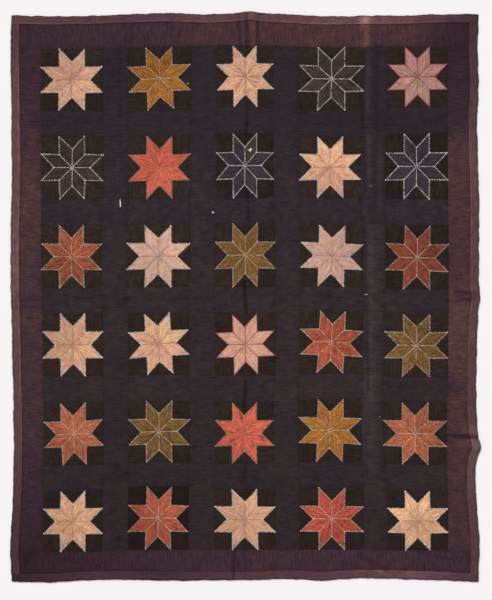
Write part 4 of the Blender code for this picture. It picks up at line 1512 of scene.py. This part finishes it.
@dataclass
class BindingMaker(StripMaker):
    """The binding: a band folded over the quilt's edge and stitched down along a ridge."""

    stops: tuple[float, ...] = (
        0.0, 0.02, 0.05, 0.09, 0.14, 0.20, 0.28, 0.40, 0.54, 0.68, 0.78, 0.86, 0.92, 0.97, 1.0,
    )  # fmt: skip
    roll: float = 0.17
    ridge: float = 0.0012
    ridge_at: float = 0.93
    ridge_width: float = 0.07
    # How much lighter the band is painted along its stitched ridge
    ridge_fade: float = 0.10
    lip: float = 0.0010
    # Painted shade on the band's rolled outer edge: how dark it is, and how far in it reaches
    dark_edge: float = 0.62
    dark_reach: float = 0.10

    def share_in(self, edge: Edge, spots: Spots) -> np.ndarray:
        """How far in from the outer edge, in binding widths."""
        counted = spots.down if edge.level else spots.across
        return counted if edge.near else edge.last - counted

    def rolled(self, share: np.ndarray) -> np.ndarray:
        """How much of its height the band has reached on its way in from the edge."""
        return np.sqrt(np.clip(1.0 - (1.0 - np.clip(share / self.roll, 0.0, 1.0)) ** 2, 0.0, 1.0))

    def from_edge(self, edge: Edge, spots: Spots) -> np.ndarray:
        """How far in from the nearest outer edge of the quilt, corners included."""
        inward = self.share_in(edge, spots)
        if edge.level:
            inward = np.minimum(inward, np.minimum(spots.across, LAST_ACROSS - spots.across))
        return inward

    def near_ridge(self, edge: Edge, spots: Spots) -> np.ndarray:
        """How near places are to the ridge where the band is stitched down, from 1 to 0."""
        return hump(self.share_in(edge, spots) - self.ridge_at, self.ridge_width)

    def build(self, edge: Edge) -> bpy.types.Object:
        """Makes the binding of one edge."""
        shell = Shell(self.plan, uncut=True)
        bands = self.stops
        if not edge.near:
            bands = tuple(edge.last - stop for stop in reversed(self.stops))
        lines = (0, LAST_ACROSS) if edge.level else (1, LAST_DOWN - 1)
        evens = self.plan.even_lines(down=not edge.level)
        for start in range(*lines):
            cells = max(4, round(abs(evens[start + 1] - evens[start]) / self.cell))
            steps = [start + step for step in even_steps(cells)]
            if edge.level:
                rows = [[(step, band, 1.0) for step in steps] for band in bands]
            else:
                rows = [[(band, step, 1.0) for band in bands] for step in steps]
            shell.add_grid(rows, Patch(0.0 if edge.level else math.pi / 2))
        width = (min(bands), max(bands))
        if edge.level:
            shell.tighten((-1, LAST_ACROSS + 1), width)
        else:
            shell.tighten(width, lines)

        def height(spots: Spots) -> np.ndarray:
            ridge = self.ridge * self.near_ridge(edge, spots)
            rolled = self.rolled(self.from_edge(edge, spots))
            return self.lip + (self.plain_top(spots) + ridge - self.lip) * rolled

        along_wear_and_shade = self.edge_wear(edge, BINDING_FADE)

        def wear(spots: Spots) -> np.ndarray:
            # The band is painted lighter along its ridge
            ridge = self.ridge_fade * self.near_ridge(edge, spots)
            # Painted shade darkens the rolled outer edge
            outer = self.dark_edge * hump(self.from_edge(edge, spots), self.dark_reach)
            return along_wear_and_shade(spots) + ridge - outer

        name = f"binding_{edge.value}"
        piece = shell.close(f"{name}_cloth", [self.maker.cloth("binding")], height, wear)
        flat = (self.plan.binding_width, abs(evens[lines[1]] - evens[lines[0]]))
        self.hand_over(piece, name, "binding", flat)
        return piece


@dataclass(frozen=True)
class Stitch:
    """A kind of stitch: how it is spaced, and each arm's reach, slant and thread.

    Arms that alternate lean left and right in turn, and the others all lean the same way.
    """

    name: str
    spacing: float
    reach: float
    slant: float
    thickness: float
    arch: float
    alternate: float


FEATHER = Stitch("feather", 0.0058, 0.0062, 0.46, 0.00072, 0.0009, 1.0)
WHIP = Stitch("whip", 0.0060, 0.0048, 1.00, 0.00090, 0.0012, 0.0)


@dataclass
class ThreadWork(QuiltPart):
    """Hand stitching over the stars' seams, laid by Geometry Nodes along the seam lines."""

    unevenness: float = 0.14
    seed: int = 7
    seam_fullness: float = 0.18

    def tree(self) -> bpy.types.NodeTree:
        """Builds the tree that lays slanted stitches along lines."""
        tree = bpy.data.node_groups.new("slanted_stitches", "GeometryNodeTree")
        sockets = tree.interface
        measures = ("Spacing", "Reach", "Slant", "Thickness", "Arch", "Alternate", "Unevenness")
        for name, kind in (
            ("Seams", "Geometry"),
            *((measure, "Float") for measure in measures),
            ("Seed", "Int"),
            ("Thread", "Material"),
        ):
            sockets.new_socket(name, in_out="INPUT", socket_type=f"NodeSocket{kind}")
        sockets.new_socket("Stitches", in_out="OUTPUT", socket_type="NodeSocketGeometry")
        wire = Wiring(tree)
        given = wire.add("NodeGroupInput").outputs
        put_out = wire.add("NodeGroupOutput")

        line = wire.add("GeometryNodeMeshToCurve", {"Mesh": given["Seams"]})
        feeds = {"Curve": line.outputs["Curve"], "Length": given["Spacing"]}
        even = wire.add("GeometryNodeResampleCurve", feeds, mode="LENGTH")

        half = wire.math("MULTIPLY", given["Reach"], 0.5)
        arm = wire.add("GeometryNodeCurveQuadraticBezier", {"Resolution": 2})
        for name, side, lift in (("Start", -1.0, 0.0), ("Middle", 0.0, 1.0), ("End", 1.0, 0.0)):
            across = wire.math("MULTIPLY", half, side)
            up = wire.math("MULTIPLY", given["Arch"], lift)
            spot = wire.add("ShaderNodeCombineXYZ", {"X": across, "Z": up})
            wire.feed(arm.inputs[name], spot.outputs["Vector"])
        feeds = {"Resolution": 4, "Radius": given["Thickness"]}
        ring = wire.add("GeometryNodeCurvePrimitiveCircle", feeds, mode="RADIUS")
        feeds = {"Curve": arm.outputs["Curve"], "Profile Curve": ring.outputs["Curve"]}
        tube = wire.add("GeometryNodeCurveToMesh", {**feeds, "Fill Caps": True})

        tangent = wire.add("GeometryNodeInputTangent").outputs["Tangent"]
        turn_to = {"axis": "X", "pivot_axis": "Z"}
        facing = wire.add("FunctionNodeAlignRotationToVector", {"Vector": tangent}, **turn_to)
        index = wire.add("GeometryNodeInputIndex").outputs["Index"]
        swing = wire.math("MULTIPLY", wire.math("MODULO", index, 2.0), -2.0)
        side = wire.math("MULTIPLY_ADD", swing, given["Alternate"], 1.0)
        wobble = self.chance_node(wire, given, 0)
        angle = wire.math("MULTIPLY", side, wire.math("MULTIPLY", given["Slant"], wobble))
        feeds = {"Axis": (0.0, 0.0, 1.0), "Angle": angle}
        spin = wire.add("FunctionNodeAxisAngleToRotation", feeds)
        feeds = {"Rotation": facing.outputs["Rotation"], "Rotate By": spin.outputs["Rotation"]}
        turned = wire.add("FunctionNodeRotateRotation", feeds, rotation_space="LOCAL")

        feeds = {
            "Points": even.outputs["Curve"],
            "Instance": tube.outputs["Mesh"],
            "Rotation": turned.outputs["Rotation"],
            "Scale": self.chance_node(wire, given, 1),
        }
        laid = wire.add("GeometryNodeInstanceOnPoints", feeds)
        real = wire.add("GeometryNodeRealizeInstances", {"Geometry": laid.outputs["Instances"]})
        feeds = {"Geometry": real.outputs["Geometry"], "Material": given["Thread"]}
        dyed = wire.add("GeometryNodeSetMaterial", feeds)
        wire.feed(put_out.inputs["Stitches"], dyed.outputs["Geometry"])
        return tree

    def chance_node(
        self, wire: Wiring, given: bpy.types.bpy_prop_collection, step: int
    ) -> bpy.types.NodeSocket:
        """Adds a random factor about 1, as uneven as the tree's input says."""
        feeds = {
            2: wire.math("SUBTRACT", 1.0, given["Unevenness"]),
            3: wire.math("ADD", 1.0, given["Unevenness"]),
            "Seed": wire.math("ADD", given["Seed"], float(step)),
        }
        return wire.add("FunctionNodeRandomValue", feeds, data_type="FLOAT").outputs[1]

    def seam_mesh(self, name: str, blocks: list[Block], stitch: Stitch) -> bpy.types.Object:
        """Makes the bare seam lines that one kind of stitch follows."""
        spots: list[tuple[float, float]] = []
        edges: list[tuple[int, int]] = []
        for block in blocks:
            inner, outline = StarBlock(block).seam_lines()
            for line in inner if stitch is FEATHER else outline:
                first = len(spots)
                spots += line
                edges += [(i, i + 1) for i in range(first, len(spots) - 1)]
        across, down = (np.array(side) for side in zip(*spots))
        east, north = self.plan.place(across, down)
        top = self.plan.top(east, north, np.full_like(east, self.seam_fullness))
        mesh = bpy.data.meshes.new(name)
        mesh.from_pydata(np.column_stack((east, north, top)), edges, [])
        return put_in_scene(name, mesh)

    def build(self) -> None:
        """Stitches all the stars, one object for each thread and kind of stitch."""
        tree = self.tree()
        for thread in Thread:
            blocks = [block for block in BLOCKS if block.thread is thread]
            inner, outline, reach = THREADS[thread]
            for stitch, colour in ((FEATHER, inner), (replace(WHIP, reach=reach), outline)):
                lines = self.seam_mesh(f"seams_{thread.value}", blocks, stitch)
                settings = {name.capitalize(): value for name, value in vars(stitch).items()}
                settings["Unevenness"] = self.unevenness
                settings["Seed"] = self.seed
                finish = self.maker.strand(f"{stitch.name}_thread_{thread.value}", colour)
                settings["Thread"] = finish
                piece = grow(lines, tree, settings, f"{stitch.name}_stitching_{thread.value}")
                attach(piece, "root")
                log.info("%s: %d faces", piece.name, len(piece.data.polygons))


def grow(
    base: bpy.types.Object, tree: bpy.types.NodeTree, settings: dict[str, object], name: str
) -> bpy.types.Object:
    """Runs a node tree on a base object and keeps the result as a plain mesh.

    Args:
        base: What the tree starts from, removed afterwards.
        tree: The geometry node tree.
        settings: A value for each named input. Other names are passed over.
        name: The finished object's name.

    Returns:
        The finished object.
    """
    modifier = base.modifiers.new(tree.name, "NODES")
    modifier.node_group = tree
    for item in tree.interface.items_tree:
        if item.item_type == "SOCKET" and item.in_out == "INPUT" and item.name in settings:
            modifier[item.identifier] = settings[item.name]
    graph = bpy.context.evaluated_depsgraph_get()
    mesh = bpy.data.meshes.new_from_object(base.evaluated_get(graph), depsgraph=graph)
    base.modifiers.remove(modifier)
    mesh.name = name
    shade_smooth(mesh)
    piece = put_in_scene(name, mesh)
    bpy.data.objects.remove(base, do_unlink=True)
    return piece


@dataclass
class LintWork(QuiltPart):
    """Tufts of wadding, specks and loose threads that lie on the face."""

    fibre_radius: float = 0.00035
    thin_end: float = 0.45
    reach_shares: tuple[float, float] = (0.35, 0.75)
    turn: float = 0.5
    bend: float = 0.9
    limit: float = 0.62
    loose: float = 1.4
    heap_mm: tuple[float, float] = (0.2, 1.6)
    steps: int = 5
    sides: int = 4

    def fibre(self, lint: Lint) -> tuple[np.ndarray, np.ndarray]:
        """The line of one short bent fibre within a tuft, in the tuft's own frame."""
        reach = self.chance.uniform(*self.reach_shares) * lint.length
        across = self.chance.uniform(-0.5, 0.5) * lint.width
        start = self.chance.uniform(-0.5, 0.5) * lint.length
        heading = self.chance.gauss(0.0, self.turn)
        bend = self.chance.gauss(0.0, self.bend)
        start *= max(0.1, 1.0 - reach / lint.length)
        shares = np.array(even_steps(self.steps - 1)) - 0.5
        angles = heading + bend * shares
        far = self.limit * lint.length
        wide = self.limit * lint.width * self.loose
        x = np.clip(start + reach * shares * np.cos(angles), -far, far)
        return x, np.clip(across + reach * shares * np.sin(angles), -wide, wide)

    def build(self, lint: Lint) -> bpy.types.Object:
        """Makes one tuft of fibres, each a thin closed tube that lies on the cloth."""
        heading = math.radians(lint.heading)
        bm = bmesh.new()
        for _ in range(lint.fibres):
            x, y = self.fibre(lint)
            east = lint.at[0] + x * math.cos(heading) - y * math.sin(heading)
            north = lint.at[1] + x * math.sin(heading) + y * math.cos(heading)
            heap = self.chance.uniform(*self.heap_mm) * MM
            arched = heap * np.sin(np.linspace(0.0, math.pi, self.steps))
            top = self.plan.top(east, north, np.ones_like(east)) + arched + self.fibre_radius * 0.5
            self.add_tube(bm, np.column_stack((east, north, top)))
        mesh = bpy.data.meshes.new(f"lint_{lint.name}")
        bmesh.ops.recalc_face_normals(bm, faces=bm.faces)
        bm.to_mesh(mesh)
        bm.free()
        shade_smooth(mesh)
        mesh.materials.append(self.maker.strand(f"fibre_{lint.name}", lint.colour))
        piece = put_in_scene(f"lint_{lint.name}", mesh)
        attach(piece, "root")
        log.info("%s: %d fibres", piece.name, lint.fibres)
        return piece

    def add_tube(self, bm: bmesh.types.BMesh, spine: np.ndarray) -> None:
        """Adds a closed tube along a spine, thinner towards its ends."""
        last = len(spine) - 1
        rings = []
        for i, centre in enumerate(spine):
            ahead = Vector(spine[min(i + 1, last)]) - Vector(spine[max(i - 1, 0)])
            side = ahead.cross(Vector((0.0, 0.0, 1.0))).normalized()
            lift = side.cross(ahead).normalized()
            radius = self.fibre_radius * (self.thin_end if i in (0, last) else 1.0)
            ring = []
            for k in range(self.sides):
                angle = 2 * math.pi * k / self.sides
                offset = side * math.cos(angle) + lift * math.sin(angle)
                ring.append(bm.verts.new(Vector(centre) + offset * radius))
            rings.append(ring)
        for first, second in zip(rings, rings[1:]):
            for k in range(self.sides):
                after = (k + 1) % self.sides
                bm.faces.new((first[k], first[after], second[after], second[k]))
        bm.faces.new(rings[0])
        bm.faces.new(rings[-1])


@dataclass(frozen=True)
class Studio:
    """The pale floor, the soft light and the camera straight above."""

    floor_size: float = 40.0
    floor_colour: str = "F5F2F3"
    floor_drop: float = 0.0003
    sky: float = 0.50
    key: float = 2.45
    key_angle: float = 26.0
    key_tilt: float = 48.0
    key_heading: float = 35.0
    distance: float = 4.2
    view_middle: tuple[float, float] = (0.0032, -0.0121)
    view_height: float = 2.286
    view_end: float = 50.0
    sensor: float = 36.0

    def lay_floor(self) -> None:
        """Makes the plain pale floor."""
        bm = bmesh.new()
        bmesh.ops.create_grid(bm, x_segments=2, y_segments=2, size=self.floor_size / 2)
        bmesh.ops.translate(bm, verts=bm.verts, vec=(0.0, 0.0, -self.floor_drop))
        mesh = bpy.data.meshes.new("floor")
        bm.to_mesh(mesh)
        bm.free()
        material, shader = matt_finish("floor_paper", roughness=1.0, shine=0.0)
        shader.inputs["Base Color"].default_value = linear(self.floor_colour)
        mesh.materials.append(material)
        floor = put_in_scene("floor", mesh)

    def light(self) -> None:
        """Adds the even sky and the soft key light from the upper left."""
        world = bpy.data.worlds.new("studio")
        world.use_nodes = True
        sky = world.node_tree.nodes["Background"]
        sky.inputs["Color"].default_value = (1.0, 1.0, 1.0, 1.0)
        sky.inputs["Strength"].default_value = self.sky
        bpy.context.scene.world = world
        lamp = bpy.data.lights.new("key", "SUN")
        lamp.energy = self.key
        lamp.angle = math.radians(self.key_angle)
        key = put_in_scene("key", lamp)
        tilt = math.radians(self.key_tilt)
        key.rotation_euler = (tilt, 0.0, math.radians(180.0 + self.key_heading))

    def aim(self) -> None:
        """Sets the camera straight above, framed as the photograph is."""
        data = bpy.data.cameras.new("camera")
        data.sensor_width = self.sensor
        data.lens = self.sensor * self.distance / self.view_height
        data.clip_end = self.view_end
        camera = put_in_scene("camera", data)
        camera.location = (*self.view_middle, self.distance)
        bpy.context.scene.camera = camera

    def build(self) -> None:
        """Sets up the whole studio."""
        self.lay_floor()
        self.light()
        self.aim()
        bpy.context.scene.view_settings.view_transform = "Standard"


def main() -> None:
    """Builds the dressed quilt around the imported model."""
    logging.basicConfig(level=logging.INFO, format="%(message)s")
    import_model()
    Studio().build()
    shared = (Plan(), Dressmaker(), random.Random(CHANCE_SEED))
    columns = ColumnMaker(*shared)
    for col in range(1, COLUMNS + 1):
        columns.build(col)
    strips = StripMaker(*shared)
    for number in range(1, COLUMNS):
        strips.build_sash(number)
    for edge in Edge:
        strips.build_border(edge)
    binding = BindingMaker(*shared)
    for edge in Edge:
        binding.build(edge)
    stars = StarMaker(*shared)
    for block in BLOCKS:
        stars.build(block)
    ThreadWork(*shared).build()
    lint_work = LintWork(*shared)
    for lint in LINTS:
        lint_work.build(lint)


if __name__ == "__main__":
    main()
